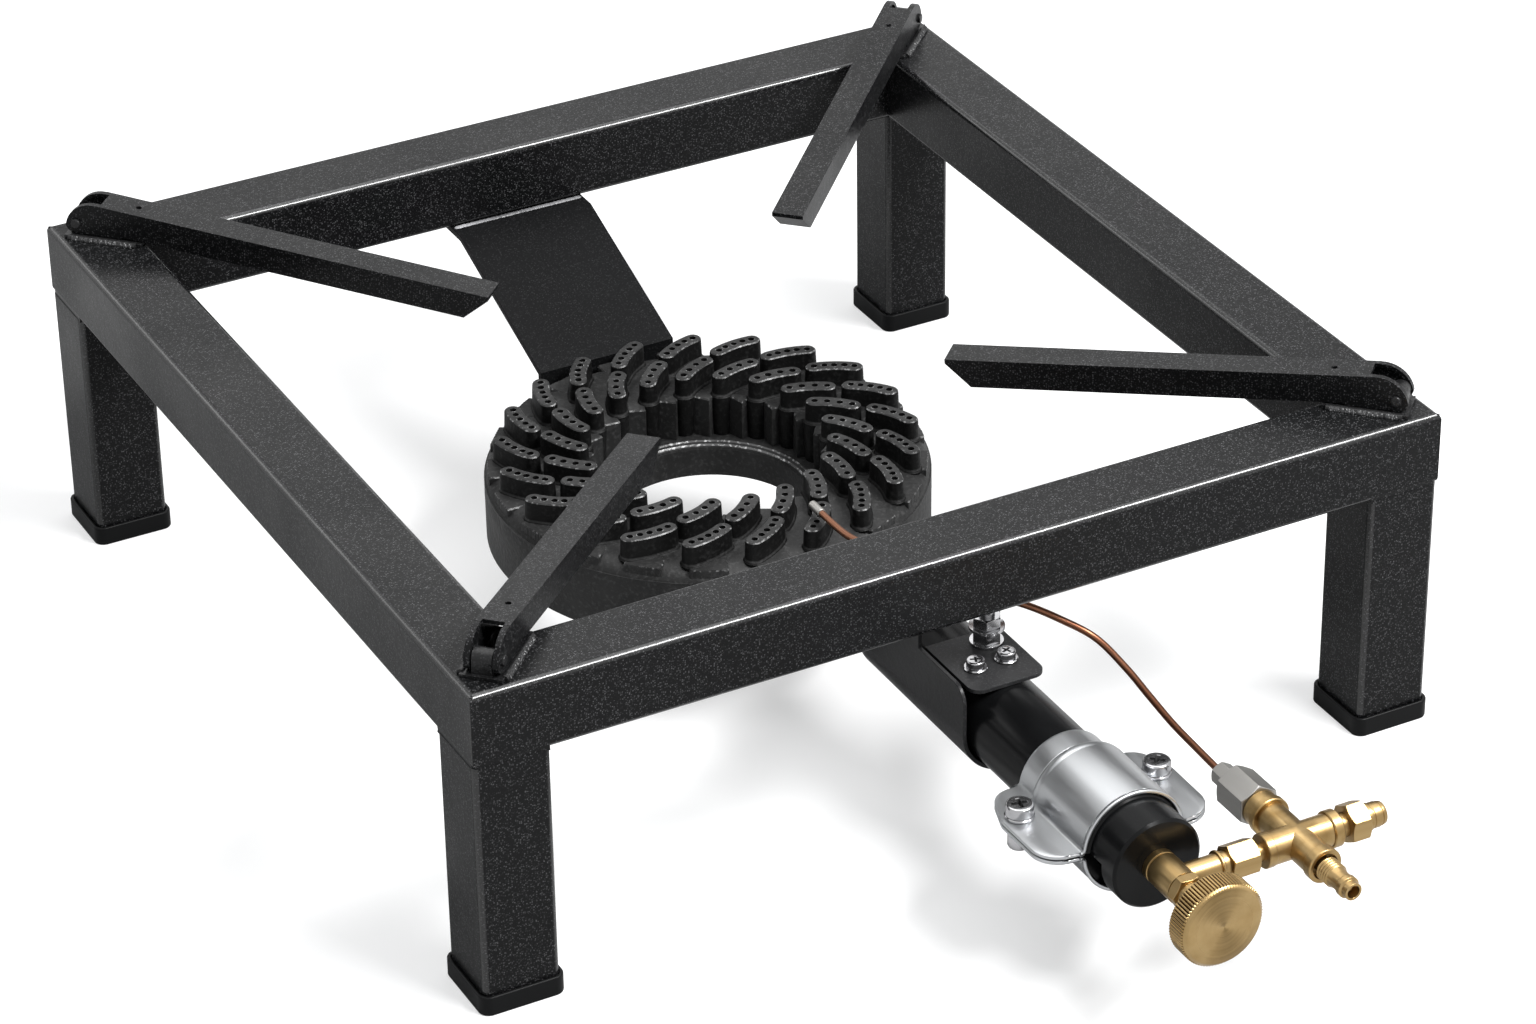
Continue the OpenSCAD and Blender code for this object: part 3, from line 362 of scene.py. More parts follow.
# painted glints: the weld bead copy takes brighter, denser grains standing in for light on its
# lumps
beadSpec = dict(
    weldSpec, dark=(0.012, 0.012, 0.0125, 1), light=(0.04, 0.04, 0.041, 1),
    paintedGlint=(0.5, 0.5, 0.5, 1), sparkle=0.6
)
brightBeadSpec = dict(weldSpec, sparkle=1.0, light=(0.3, 0.3, 0.31, 1))


# Cast iron, with dusty grains on top of a mottled base
def makeCast(name, spec):
    material, tree, shader, place = startMaterial(name)
    grain = useGroup(tree, "cast", place)
    tone = addRamp(tree, grain["Tone"], *spec["toneRange"])
    base = addMix(tree, tone, spec["dark"], spec["light"])
    dust = scaled(tree, grain["Dust"], spec["dust"])
    tree.links.new(addMix(tree, dust, base, spec["dustColour"]), shader.inputs["Base Color"])
    shader.inputs["Roughness"].default_value = spec["roughness"]
    shader.inputs["Specular IOR Level"].default_value = spec["specular"]
    addBump(tree, shader, grain["Height"], spec["bump"], spec["bumpDepth"])
    return material


castSpec = {
    "dark": (0.006, 0.006, 0.006, 1),
    "light": (0.02, 0.02, 0.02, 1),
    "dustColour": (0.06, 0.06, 0.06, 1),
    "toneRange": (0.3, 0.7),
    "dust": 0.4,
    "specular": 0.25,
    "roughness": 0.5,
    "bump": 0.5,
    "bumpDepth": 0.0003,
}
# worn edges with a painted highlight: a lighter, dustier copy for the rims of the ports and the top
# edges of the ribs, shelves and wall
wornLitSpec = dict(
    castSpec, light=(0.024, 0.024, 0.024, 1), dustColour=(0.3, 0.3, 0.3, 1),
    dust=0.8, roughness=0.34, specular=0.28
)
# painted shade: a near black copy of the cast iron for the bores of the ports
deepShadeSpec = dict(
    castSpec, dark=(0.0015, 0.0015, 0.0015, 1), light=(0.003, 0.003, 0.003, 1),
    dust=0.0, specular=0.08
)
# painted shade: a darker copy of the cast iron for the sides of the ribs
sideShadeSpec = dict(
    castSpec, dark=(0.002, 0.002, 0.002, 1), light=(0.005, 0.005, 0.005, 1),
    dust=0.15, specular=0.12
)
# painted light: a lighter copy of the cast iron for the tops of the ribs and the shelves
shelfLitSpec = dict(
    castSpec, dark=(0.01, 0.01, 0.01, 1), light=(0.024, 0.024, 0.024, 1), specular=0.18
)
# painted highlight: bright lines along the steps of the ledge under the hole
ledgeHighlightSpec = dict(
    wornLitSpec, light=(0.1, 0.1, 0.1, 1), dustColour=(0.6, 0.6, 0.6, 1), dust=1.0, specular=0.5
)


# Rolled, drawn or plated metal, with streaks along one direction
def makeMetal(name, spec):
    material, tree, shader, place = startMaterial(name)
    mapping = addNode(tree, "ShaderNodeMapping", {"Vector": place, "Scale": spec["stretch"]})
    lines = useGroup(tree, "streaks", mapping.outputs[0])
    slow = addRamp(tree, lines["Slow"], *spec["slowRange"])
    base = addMix(tree, slow, spec["dark"], spec["light"])
    fine = scaled(tree, addRamp(tree, lines["Fine"], *spec["fineRange"]), spec["lines"])
    tree.links.new(addMix(tree, fine, base, spec["dark"]), shader.inputs["Base Color"])
    shader.inputs["Metallic"].default_value = 1
    rough = scaled(tree, lines["Fine"], spec["roughSpread"])
    tree.links.new(addMath(tree, "ADD", rough, spec["roughness"]), shader.inputs["Roughness"])
    addBump(tree, shader, lines["Fine"], spec["bump"], spec["bumpDepth"])
    return material


zincSpec = {
    "dark": (0.44, 0.45, 0.46, 1),
    "light": (0.64, 0.655, 0.67, 1),
    "stretch": (1, 0.12, 1),
    "slowRange": (0.35, 0.65),
    "fineRange": (0.3, 0.7),
    "lines": 0.3,
    "roughness": 0.22,
    "roughSpread": 0.2,
    "bump": 0.3,
    "bumpDepth": 0.00005,
}
screwSpec = dict(
    zincSpec, dark=(0.3, 0.3, 0.31, 1), light=(0.6, 0.6, 0.61, 1), stretch=(1, 1, 1),
    roughness=0.15, roughSpread=0.08, bump=0.05
)
nickelSpec = dict(
    zincSpec, dark=(0.24, 0.235, 0.225, 1), light=(0.38, 0.37, 0.35, 1),
    stretch=(1, 0.2, 1), roughness=0.3
)
copperSpec = dict(
    zincSpec, dark=(0.16, 0.06, 0.032, 1), light=(0.26, 0.13, 0.08, 1),
    stretch=(1, 0.15, 1), roughness=0.27
)


# Turned brass, with rings about an axis through a point of the frame
def makeBrass(name, spec, centre, keep):
    material, tree, shader, place = startMaterial(name)
    shifted = addVector(tree, "SUBTRACT", place, Vector(centre))
    flat = addVector(tree, "MULTIPLY", shifted.outputs[0], Vector(keep))
    turned = useGroup(tree, "turning", flat.outputs[0])
    stain = addRamp(tree, turned["Stain"], *spec["stainRange"])
    tone = addMix(tree, stain, spec["light"], spec["dark"])
    if "sheen" in spec:
        # painted sheen: two opposite bright sectors of a turned face, the rest shaded, cut by slow
        # rings
        double = scaled(tree, turned["Angle"], 2.0)
        lobe = addMath(tree, "COSINE", addMath(tree, "ADD", double, spec["sheenTurn"]))
        bands = scaled(tree, addRamp(tree, turned["Bands"], *spec["bandRange"]), spec["bands"])
        paintedSheenShade = scaled(tree, addMath(tree, "SUBTRACT", bands, lobe), spec["sheen"], clamp=True)
        tone = addMix(tree, paintedSheenShade, tone, spec["shade"])
    if "ridges" in spec:
        # painted shade: darker valleys between the ridges of a knurl
        wave = addMath(tree, "COSINE", scaled(tree, turned["Angle"], float(spec["ridges"])))
        paintedValleyShade = scaled(tree, wave, spec["paintedValleyShade"], clamp=True)
        tone = addMix(tree, paintedValleyShade, tone, spec["shade"])
    tree.links.new(tone, shader.inputs["Base Color"])
    shader.inputs["Metallic"].default_value = 1
    rough = scaled(tree, turned["Rings"], spec["roughSpread"])
    tree.links.new(addMath(tree, "ADD", rough, spec["roughness"]), shader.inputs["Roughness"])
    addBump(tree, shader, turned["Rings"], spec["bump"], spec["bumpDepth"])
    if "turned" in spec:
        shader.inputs["Anisotropic"].default_value = spec["turned"]
        tangent = addNode(tree, "ShaderNodeTangent", direction_type="RADIAL", axis="Y")
        tree.links.new(tangent.outputs[0], shader.inputs["Tangent"])
    return material


brassSpec = {
    "light": (0.4, 0.28, 0.13, 1),
    "dark": (0.28, 0.18, 0.07, 1),
    "shade": (0.1, 0.062, 0.022, 1),
    "stainRange": (0.35, 0.7),
    "roughness": 0.25,
    "roughSpread": 0.16,
    "bump": 0.5,
    "bumpDepth": 0.00006,
}
# painted sheen: the knob's face takes bright and shaded sectors in its colour
faceSpec = dict(
    brassSpec, turned=0.7, dark=(0.34, 0.23, 0.1, 1), roughness=0.2, roughSpread=0.2, bump=0.35,
    sheen=0.42, sheenTurn=-0.5, bands=0.45, bandRange=(0.35, 0.65)
)
ridgeCount = 84
# painted shade in the valleys of the knurl
knurlSpec = dict(brassSpec, ridges=ridgeCount, paintedValleyShade=0.85, roughness=0.16)
# Middle of the brass cross, and a point on the axis of the mixing tube and the valve
crossPlace = atStand(63.3, -316, 57)
tubePlace = atStand(13, -316, 57)
looks = {
    "powder": makePaint("powderCoat", powderSpec),
    "rail": makePaint("railCoat", railSpec),
    "gloss": makePaint("glossPaint", plainPaintSpec),
    "sheet": makePaint("sheetPaint", sheetPaintSpec),
    "plastic": makePaint("capPlastic", plasticSpec),
    "weld": makePaint("weldPaint", weldSpec),
    "bead": makePaint("beadPaint", beadSpec),
    "paintedLightSheet": makePaint("paintedLightSheet", paintedLightSheetSpec),
    "cast": makeCast("castIron", castSpec),
    "zinc": makeMetal("zincSheet", zincSpec),
    "screw": makeMetal("brightZinc", screwSpec),
    "nickel": makeMetal("satinNickel", nickelSpec),
    "copper": makeMetal("drawnCopper", copperSpec),
    "brassForward": makeBrass("brassForward", brassSpec, tubePlace, (1, 0, 1)),
    "brassCross": makeBrass("brassCross", brassSpec, crossPlace, (1, 1, 1)),
    "brassGuard": makeBrass("brassGuard", brassSpec, crossPlace, (1, 0, 1)),
    "brassSide": makeBrass("brassSide", brassSpec, crossPlace, (0, 1, 1)),
    "rubber": makePaint("sealRubber", rubberSpec),
    "castWornLit": makeCast("castWornLit", wornLitSpec),
    "castDeepShade": makeCast("castDeepShade", deepShadeSpec),
    "castShelfLit": makeCast("castShelfLit", shelfLitSpec),
    "castLedgeHighlight": makeCast("castLedgeHighlight", ledgeHighlightSpec),
    "castSideShade": makeCast("castSideShade", sideShadeSpec),
    "recess": makePaint("screwRecessShade", recessShadeSpec),
    "weldBright": makePaint("weldBright", brightBeadSpec),
    "brassFace": makeBrass("brassFace", faceSpec, tubePlace, (1, 0, 1)),
    "brassKnurl": makeBrass("brassKnurl", knurlSpec, tubePlace, (1, 0, 1)),
}
print("materials made")


# Edges of a CAD node are broken with modifiers, its own mesh stays as packed
dressSpec = {"weld": 0.002, "flatAngle": 1, "bevelAngle": 32, "segments": 2, "weight": 60}


def dress(name, look, bevel, spec):
    node = nodes[name]
    node.data.materials.clear()
    node.data.materials.append(looks[look])
    weld = node.modifiers.new("weld", "WELD")
    weld.merge_threshold = spec["weld"] * mm
    if bevel:
        flat = node.modifiers.new("flat", "DECIMATE")
        flat.decimate_type = "DISSOLVE"
        flat.angle_limit = math.radians(spec["flatAngle"])
        edge = node.modifiers.new("edge", "BEVEL")
        edge.width = bevel * mm
        edge.segments = spec["segments"]
        edge.limit_method = "ANGLE"
        edge.angle_limit = math.radians(spec["bevelAngle"])
        edge.harden_normals = False
        edge.use_clamp_overlap = True
    for polygon in node.data.polygons:
        polygon.use_smooth = True
    smooth = node.modifiers.new("weighted", "WEIGHTED_NORMAL")
    smooth.keep_sharp = False
    smooth.weight = spec["weight"]


# Look, bevel width in millimetres and names
dressing = [
    ("rail", 0, ["front_rail", "right_rail", "back_rail", "left_rail"]),
    ("rail", 0, ["leg_front_left", "leg_front_right", "leg_back_right", "leg_back_left"]),
    ("plastic", 0.6, ["foot_caps"]),
    ("weld", 0.4, ["hinge_front_left", "hinge_front_right", "hinge_back_right", "hinge_back_left"]),
    ("powder", 0.5, ["arm_front_left", "arm_front_right", "arm_back_right", "arm_back_left"]),
    ("weld", 0.3, ["pin_front_left", "pin_front_right", "pin_back_right", "pin_back_left"]),
    ("cast", 0.5, ["burner_base"]),
    ("cast", 0.5, ["burner_head"]),
    ("sheet", 0.3, ["rear_strip", "probe_clip"]),
    # the cradle and cover plate take the lighter copy, painted light
    ("paintedLightSheet", 0.3, ["cradle", "cover_plate"]),
    ("gloss", 0.3, ["mixing_tube", "air_cup"]),
    ("zinc", 0.3, ["clamp_upper", "clamp_lower"]),
    ("screw", 0.2, ["burner_screws", "strip_screws", "hanger_stud", "hanger_nut", "plate_screws"]),
    ("screw", 0.25, ["clamp_screws", "clamp_nuts"]),
    ("brassForward", 0.25, ["injector", "valve_body", "gland_nut", "knob"]),
    ("brassSide", 0.25, ["union_nut", "link_pipe", "inlet_nut", "inlet_tail"]),
    ("brassCross", 0.3, ["cross_body"]),
    ("brassGuard", 0.25, ["button", "button_bush"]),
    ("nickel", 0.3, ["spindle", "magnet_nut", "magnet_unit", "probe_nut", "probe_tip"]),
    ("nickel", 0, ["valve_spring", "button_spring"]),
    ("rubber", 0.2, ["valve_disc"]),
    ("copper", 0, ["probe_tube"]),
]
for look, bevel, names in dressing:
    for name in names:
        dress(name, look, bevel, dressSpec)
print("CAD nodes dressed")


# Mesh helpers: rows of points in millimetres become skins, placed by a matrix in metres
def frameAt(place, turn=(0, 0, 0)):
    spin = Euler([math.radians(v) for v in turn]).to_matrix().to_4x4()
    return Matrix.Translation(place) @ spin @ Matrix.Scale(mm, 4)


# The ring's middle lies a little left of the stand's
ringX = -6.0
ringFrame = frameAt(atStand(ringX, 0, 0))
tubeFrame = frameAt(atStand(13, 0, 57), (90, 0, 0))


def polar(radius, angle, z=0.0):
    return Vector((radius * math.cos(angle), radius * math.sin(angle), z))


# Angles of one full turn
def turnSteps(steps):
    return [2 * math.pi * k / steps for k in range(steps)]


# Circle about a point, in the plane of two directions
def circleRow(centre, radius, side, lift, steps):
    outward = [math.cos(t) * side + math.sin(t) * lift for t in turnSteps(steps)]
    return [centre + radius * out for out in outward]


def addSkin(bm, rows, place, closed=True, capFirst=False, capLast=False, slots=None):
    grid = [[bm.verts.new(place @ Vector(point)) for point in row] for row in rows]
    for index, (low, high) in enumerate(zip(grid, grid[1:])):
        count = len(low)
        for k in range(count if closed else count - 1):
            after = (k + 1) % count
            face = bm.faces.new((low[k], low[after], high[after], high[k]))
            face.material_index = slots[index] if slots else 0
    if capFirst:
        bm.faces.new(grid[0][::-1]).material_index = slots[0] if slots else 0
    if capLast:
        bm.faces.new(grid[-1]).material_index = slots[-1] if slots else 0
    return grid


def latheRows(profile, steps):
    return [[polar(radius, turn, z) for turn in turnSteps(steps)] for radius, z in profile]


# Flat face between an outer row of vertices and the rows round its holes
def addPiercedCap(bm, outer, holes, slot=0):
    loops = [outer] + holes
    flat = [vert for loop in loops for vert in loop]
    for triangle in tessellate_polygon([[vert.co for vert in loop] for loop in loops]):
        corners = [flat[k] for k in triangle]
        if len(set(corners)) == 3 and not bm.faces.get(corners):
            bm.faces.new(corners).material_index = slot


def addPiece(name, bm, used, body, hides=(), sharp=35):
    bmesh.ops.recalc_face_normals(bm, faces=bm.faces)
    mesh = bpy.data.meshes.new(name)
    bm.to_mesh(mesh)
    bm.free()
    for look in used:
        mesh.materials.append(looks[look])
    mesh.shade_smooth()
    mesh.set_sharp_from_angle(angle=math.radians(sharp))
    piece = bpy.data.objects.new(name, mesh)
    bpy.context.scene.collection.objects.link(piece)
    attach(piece, body)
    if hides:
        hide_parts(*hides)
    return piece


# Cast head of the ring: curved ribs with ports, shelves at the rim, fluted wall at the hole
headSpec = {
    "ribs": 21,
    "start": 3,
    "turn": -3,
    "outerRib": {"mid": 75.5, "slant": 48, "length": 23.5, "ports": 5, "low": 71},
    "innerRib": {"mid": 56.5, "slant": 40, "length": 22.5, "ports": 4, "low": 55},
    "ribWidth": 7,
    "bend": 36,
    "deck": 73,
    "ribTop": 82,
    "ribDrop": 0.3,
    # inset of a rib's outline, with its height over the deck or from the rib's top
    "ribFoot": [(-1.0, -0.05), (-0.45, 0.45), (-0.25, 1.3)],
    "ribEdge": [(0.0, -1.1), (0.1, -0.42), (0.55, 0.0)],
    # radius over the port's own, with its height from the rib's top
    "portShape": [(0.4, 0), (0.16, 0.08), (0, -0.25), (0, -2.4)],
    "portRadius": 1.15,
    "portSpread": (-0.06, 0.1),
    "portShift": 0.15,
    "rim": [
        (80, 73), (82.6, 72.3), (85, 71.1), (86.9, 69.3), (88.0, 67), (88.06, 60), (87.4, 59.8),
    ],
    "rimWobble": 0.12,
    "wall": {"least": 43.6, "lap": 1.4, "flute": 4},
    "shelf": {"radius": 86.5, "tip": 0.052, "start": 5.5, "end": 9},
    "shelfSteps": 18,
    "ragged": (-0.1, 0.22),
    "ledge": [
        (49, 55.6), (42.9, 55.6), (42.5, 55.0), (41.2, 54.8), (40.6, 54.2), (40.15, 53.0),
        (40.3, 52.2),
    ],
}
# The numbers in the head's lists of slots count along these looks; all but the first are copies
# with painted shade or painted highlights, the worn one also wear
headLooks = ["cast", "castWornLit", "castDeepShade", "castShelfLit", "castSideShade", "castLedgeHighlight"]


def ribLoop(spec, rib, inset, z, turn):
    lean = math.radians(90 - rib["slant"]) + turn
    half = spec["ribWidth"] / 2
    bend = spec["bend"]
    width = half - inset
    span = (rib["length"] / 2 - half) / bend
    centre = polar(rib["mid"], turn) + polar(bend, lean - math.pi)
    sideSteps, endSteps = 10, 8
    points = []
    for side, start in ((1, lean - span), (-1, lean + span)):
        for k in range(sideSteps + 1):
            angle = start + side * 2 * span * k / sideSteps
            points.append(centre + polar(bend + side * width, angle, z))
        end = start + side * 2 * span
        for k in range(1, endSteps):
            around = end + math.pi * (k / endSteps if side > 0 else k / endSteps - 1)
            points.append(centre + polar(bend, end) + polar(width, around, z))
    return points


def portPlaces(spec, rib, turn):
    lean = math.radians(90 - rib["slant"]) + turn
    bend = spec["bend"]
    span = ((rib["length"] - spec["ribWidth"]) / 2 - 0.2) / bend
    centre = polar(rib["mid"], turn) + polar(bend, lean - math.pi)
    steps = rib["ports"] - 1
    return [centre + polar(bend, lean - span + 2 * span * k / steps) for k in range(steps + 1)]


def addRib(bm, spec, rib, turn, luck):
    top = spec["ribTop"] + luck.uniform(-spec["ribDrop"], 0.0)
    levels = [(-0.3, rib["low"])]
    levels += [(inset, spec["deck"] + rise) for inset, rise in spec["ribFoot"]]
    levels += [(inset, top + rise) for inset, rise in spec["ribEdge"]]
    rows = [ribLoop(spec, rib, inset, z, turn) for inset, z in levels]
    # rib sides take the darker copy as painted shade, the top edge the worn copy with a painted
    # highlight
    grid = addSkin(bm, rows, ringFrame, slots=[4, 4, 0, 4, 4, 1])
    holes = []
    shift = spec["portShift"]
    for place in portPlaces(spec, rib, turn):
        place = place + Vector((luck.uniform(-shift, shift), luck.uniform(-shift, shift), 0))
        bore = spec["portRadius"] + luck.uniform(*spec["portSpread"])
        rows = []
        for extra, z in spec["portShape"]:
            rows.append([place + polar(bore + extra, around, top + z) for around in turnSteps(12)])
        # port rims take the worn copy with a painted highlight, the bores painted shade
        holes.append(addSkin(bm, rows, ringFrame, capLast=True, slots=[1, 2, 2])[0])
    # the rib's top takes the lighter copy, painted light
    addPiercedCap(bm, grid[-1], holes, 3)


def wallOutline(spec):
    rib, wall = spec["innerRib"], spec["wall"]
    half = spec["ribWidth"] / 2
    reach = rib["length"] / 2 - half
    slant = math.radians(rib["slant"])
    end = Vector((rib["mid"] - reach * math.cos(slant), reach * math.sin(slant)))
    pitch = 2 * math.pi / spec["ribs"]
    outer = end.length - half + wall["lap"]
    inner = max(wall["least"], outer - wall["flute"])
    side = (half + 0.4) / end.length
    first = math.radians(spec["start"] + spec["turn"]) + math.atan2(end.y, end.x)
    points = []
    for i in range(spec["ribs"]):
        base = first + i * pitch
        high, low = polar(inner, base + side + 0.007), polar(outer, base + pitch - side)
        points.append(polar(outer, base - side * 0.4))
        points.append(polar(outer, base + side * 0.6))
        points.append(polar(inner + 0.35, base + side))
        for k in range(5):
            points.append(high.lerp(low, k / 4 * 0.97 + 0.015))
    return points


def addShelf(bm, spec, turn, luck):
    pitch = 2 * math.pi / spec["ribs"]
    rib, shelf = spec["outerRib"], spec["shelf"]
    rim = spec["rim"][4][0]
    end = math.asin((rib["length"] / 2 - 1) * math.sin(math.radians(rib["slant"])) / (rim - 5))
    reach = pitch - 1.2 * end
    outline = [(rib["mid"], shelf["tip"]), (rim - shelf["start"], -end)]
    steps = spec["shelfSteps"]
    for k in range(steps + 1):
        ragged = spec["ragged"][k % 2] * luck.uniform(0.4, 1)
        outline.append((shelf["radius"] + ragged, -end + 0.01 + (reach - 0.01) * k / steps))
    outline.append((rim - shelf["end"], -end + reach))
    middle = sum((polar(r, a) for r, a in outline), Vector()) / len(outline)
    rows = []
    for inset, z in ((-0.2, 66), (0, 72.55), (0.5, spec["deck"] + 0.12)):
        row = []
        for r, a in outline:
            point = polar(r, a)
            inward = (middle - point).normalized() * inset
            row.append(Matrix.Rotation(turn, 3, "Z") @ (point + inward + Vector((0, 0, z))))
        rows.append(row)
    # the shelf's edge takes the worn copy with a painted highlight, its top the lighter copy as
    # painted light
    addSkin(bm, rows, ringFrame, capLast=True, slots=[0, 1])
    bm.faces.ensure_lookup_table()
    bm.faces[-1].material_index = 3


def makeHead(spec):
    luck = random.Random(11)
    bm = bmesh.new()
    pitch = 2 * math.pi / spec["ribs"]
    for i in range(spec["ribs"]):
        turn = math.radians(spec["start"]) + i * pitch
        addRib(bm, spec, spec["outerRib"], turn, luck)
        addRib(bm, spec, spec["innerRib"], turn + math.radians(spec["turn"]), luck)
        addShelf(bm, spec, turn, luck)
    outline = wallOutline(spec)
    rows = [[p + Vector((0, 0, z)) for p in outline] for z in (54.5, 60, 66, spec["deck"] - 0.55)]
    rows.append([p * (1 + 0.5 / p.length) + Vector((0, 0, spec["deck"])) for p in outline])
    for radius, z in spec["rim"]:
        row = []
        for p in outline:
            wobble = spec["rimWobble"] * noise.noise(Vector((p.x * 0.09, p.y * 0.09, z * 0.2)))
            row.append(p.normalized() * (radius + min(wobble, 0)) + Vector((0, 0, z)))
        rows.append(row)
    # the wall's top edge takes the worn copy with a painted highlight
    addSkin(bm, rows, ringFrame, slots=[0, 0, 0, 1] + [0] * len(spec["rim"]))
    # painted highlights along the steps of the ledge
    addSkin(bm, latheRows(spec["ledge"], 160), ringFrame, slots=[0, 5, 0, 5, 0, 0])
    addPiece("ringHead", bm, headLooks, "stand", ["burner_head"])


makeHead(headSpec)
print("ring head made")


# Pressed clamp shell: a narrow band, a step, a wide band and two wavy ears
clampSpec = {
    "sheet": 1.4,
    "gap": 0.3,
    "bend": 2.6,
    "barrel": [
        (240, 16.9), (250.2, 16.9), (250.9, 17.0), (251.6, 17.7), (252.4, 18.7), (253.1, 19.12),
        (254, 19.2), (255.2, 19.05), (287.6, 19.05), (289, 19.3),
    ],
    "lobes": [(24, 249.5, 8.5), (28.3, 258.5, 7.2), (24.5, 277, 10.8)],
    "stations": 56,
    "endStations": [241.05, 241.3, 241.7, 242.3, 287.0, 287.4, 287.7, 287.79],
    "rim": 0.35,
    "rimAngle": 60,
}


def clampReach(spec, z, radius):
    reach = radius + spec["bend"] + 0.1
    for x, at, size in spec["lobes"]:
        if abs(z - at) < size:
            reach = max(reach, x + math.sqrt(size * size - (z - at) ** 2))
    for (xa, za, sa), (xb, zb, sb) in zip(spec["lobes"], spec["lobes"][1:]):
        # straight side that touches both lobes
        span = math.hypot(xb - xa, zb - za)
        lean = math.atan2(xb - xa, zb - za) + math.asin((sb - sa) / span)
        startZ, startX = za - sa * math.sin(lean), xa + sa * math.cos(lean)
        endZ, endX = zb - sb * math.sin(lean), xb + sb * math.cos(lean)
        if startZ < z < endZ:
            reach = max(reach, startX + (endX - startX) * (z - startZ) / (endZ - startZ))
    return reach


def valueAlong(pairs, at):
    for (a, low), (b, high) in zip(pairs, pairs[1:]):
        if at <= b:
            return low + (high - low) * max(0, (at - a) / (b - a))
    return pairs[-1][1]


def makeClamp(name, spec, flip, node):
    start, end = spec["barrel"][0][0], spec["barrel"][-1][0]
    stations = [start + (end - start) * k / spec["stations"] for k in range(spec["stations"] + 1)]
    stations += [z for z, radius in spec["barrel"]] + spec["endStations"]
    stations = sorted(set(round(z, 3) for z in stations))
    rows = []
    for z in stations:
        radius = valueAlong(spec["barrel"], z)
        reach = clampReach(spec, z, radius)
        bend, low = spec["bend"], spec["gap"]
        foot = math.asin((low + bend) / radius)
        side = radius * math.cos(foot)
        half = []
        for k in range(4):
            half.append((reach + (side + bend - reach) * k / 4, low))
        for k in range(7):
            turn = math.pi / 2 * k / 6
            half.append((side + bend - bend * math.sin(turn), low + bend - bend * math.cos(turn)))
        for k in range(1, 15):
            turn = foot + (math.pi / 2 - foot) * k / 14
            half.append((radius * math.cos(turn), radius * math.sin(turn)))
        whole = [(-x, y) for x, y in half] + [(x, y) for x, y in reversed(half[:-1])]
        rows.append([Vector((x, y * flip, z)) for x, y in whole])
    bm = bmesh.new()
    addSkin(bm, rows, tubeFrame, closed=False)
    piece = addPiece(name, bm, ["zinc"], "stand", [node])
    middle = sum((v.co for v in piece.data.vertices), Vector()) / len(piece.data.vertices)
    wall = piece.modifiers.new("sheet", "SOLIDIFY")
    wall.thickness = spec["sheet"] * mm
    away = sum((p.center - middle).normalized().dot(p.normal) for p in piece.data.polygons)
    wall.offset = 1 if away > 0 else -1
    rim = piece.modifiers.new("rim", "BEVEL")
    rim.width = spec["rim"] * mm
    rim.segments = 2
    rim.limit_method = "ANGLE"
    rim.angle_limit = math.radians(spec["rimAngle"])
    rim.use_clamp_overlap = False


makeClamp("clampTop", clampSpec, 1, "clamp_upper")
makeClamp("clampBottom", clampSpec, -1, "clamp_lower")
print("clamp shells made")


# Cheese head screw with a rounded washer: local z points out of the head
def addScrewHead(bm, place, spec, turn):
    steps = 40
    radius, height = spec["radius"], spec["height"]
    wide, thick = spec["washer"]
    profile = [(radius * 0.5, 0.0), (wide - 0.3, 0.0), (wide, 0.3), (wide, thick - 0.35)]
    profile += [(wide - 0.35, thick), (radius * 0.5, thick)]
    addSkin(bm, latheRows(profile, steps), place)
    edge = min(0.9, height * 0.25)
    profile = [(radius * 0.6, thick - 0.02), (radius - 0.35, thick), (radius, thick + 0.3)]
    for k in range(6):
        around = math.pi / 2 * k / 5
        rise = thick + height - edge + edge * math.sin(around)
        profile.append((radius - edge + edge * math.cos(around), rise))
    grid = addSkin(bm, latheRows(profile, steps), place)
    width, reach, depth = spec["recess"]
    half = width / 2
    cross = [(reach, -half), (reach, half), (half, half)]
    cross += [(half, reach), (-half, reach), (-half, half)]
    cross += [(-x, -y) for x, y in cross]
    spin = Matrix.Rotation(turn, 3, "Z")
    top = thick + height
    rows = []
    for shrink, z in ((1.0, top), (0.94, top - 0.25), (0.6, top - depth)):
        rows.append([spin @ Vector((x * shrink, y * shrink, z)) for x, y in cross])
    # the deeper walls and floor of the recess take the painted shade
    hole = addSkin(bm, rows, place, capLast=True, slots=[0, 1])[0]
    addPiercedCap(bm, grid[-1], [hole])


def uprightAt(x, y, z):
    return tubeFrame @ Matrix.Translation((x, y, z)) @ Matrix.Rotation(-math.pi / 2, 4, "X")


clampScrewSpec = {
    "set": 28.5,
    "at": 258,
    "earTop": 1.75,
    "radius": 5.2,
    "height": 4.5,
    "washer": (5.5, 1.25),
    "recess": (1.5, 3.1, 1.9),
    "turns": (-0.2, 0.8),
    # radius, and height from the underside of the ears
    "lowerWasher": [(3, 0), (5.5, 0), (5.6, -0.3), (5.6, -0.9), (5.3, -1.1), (3, -1.1)],
    "nutRadius": 4.25,
    "nutLength": 9,
}


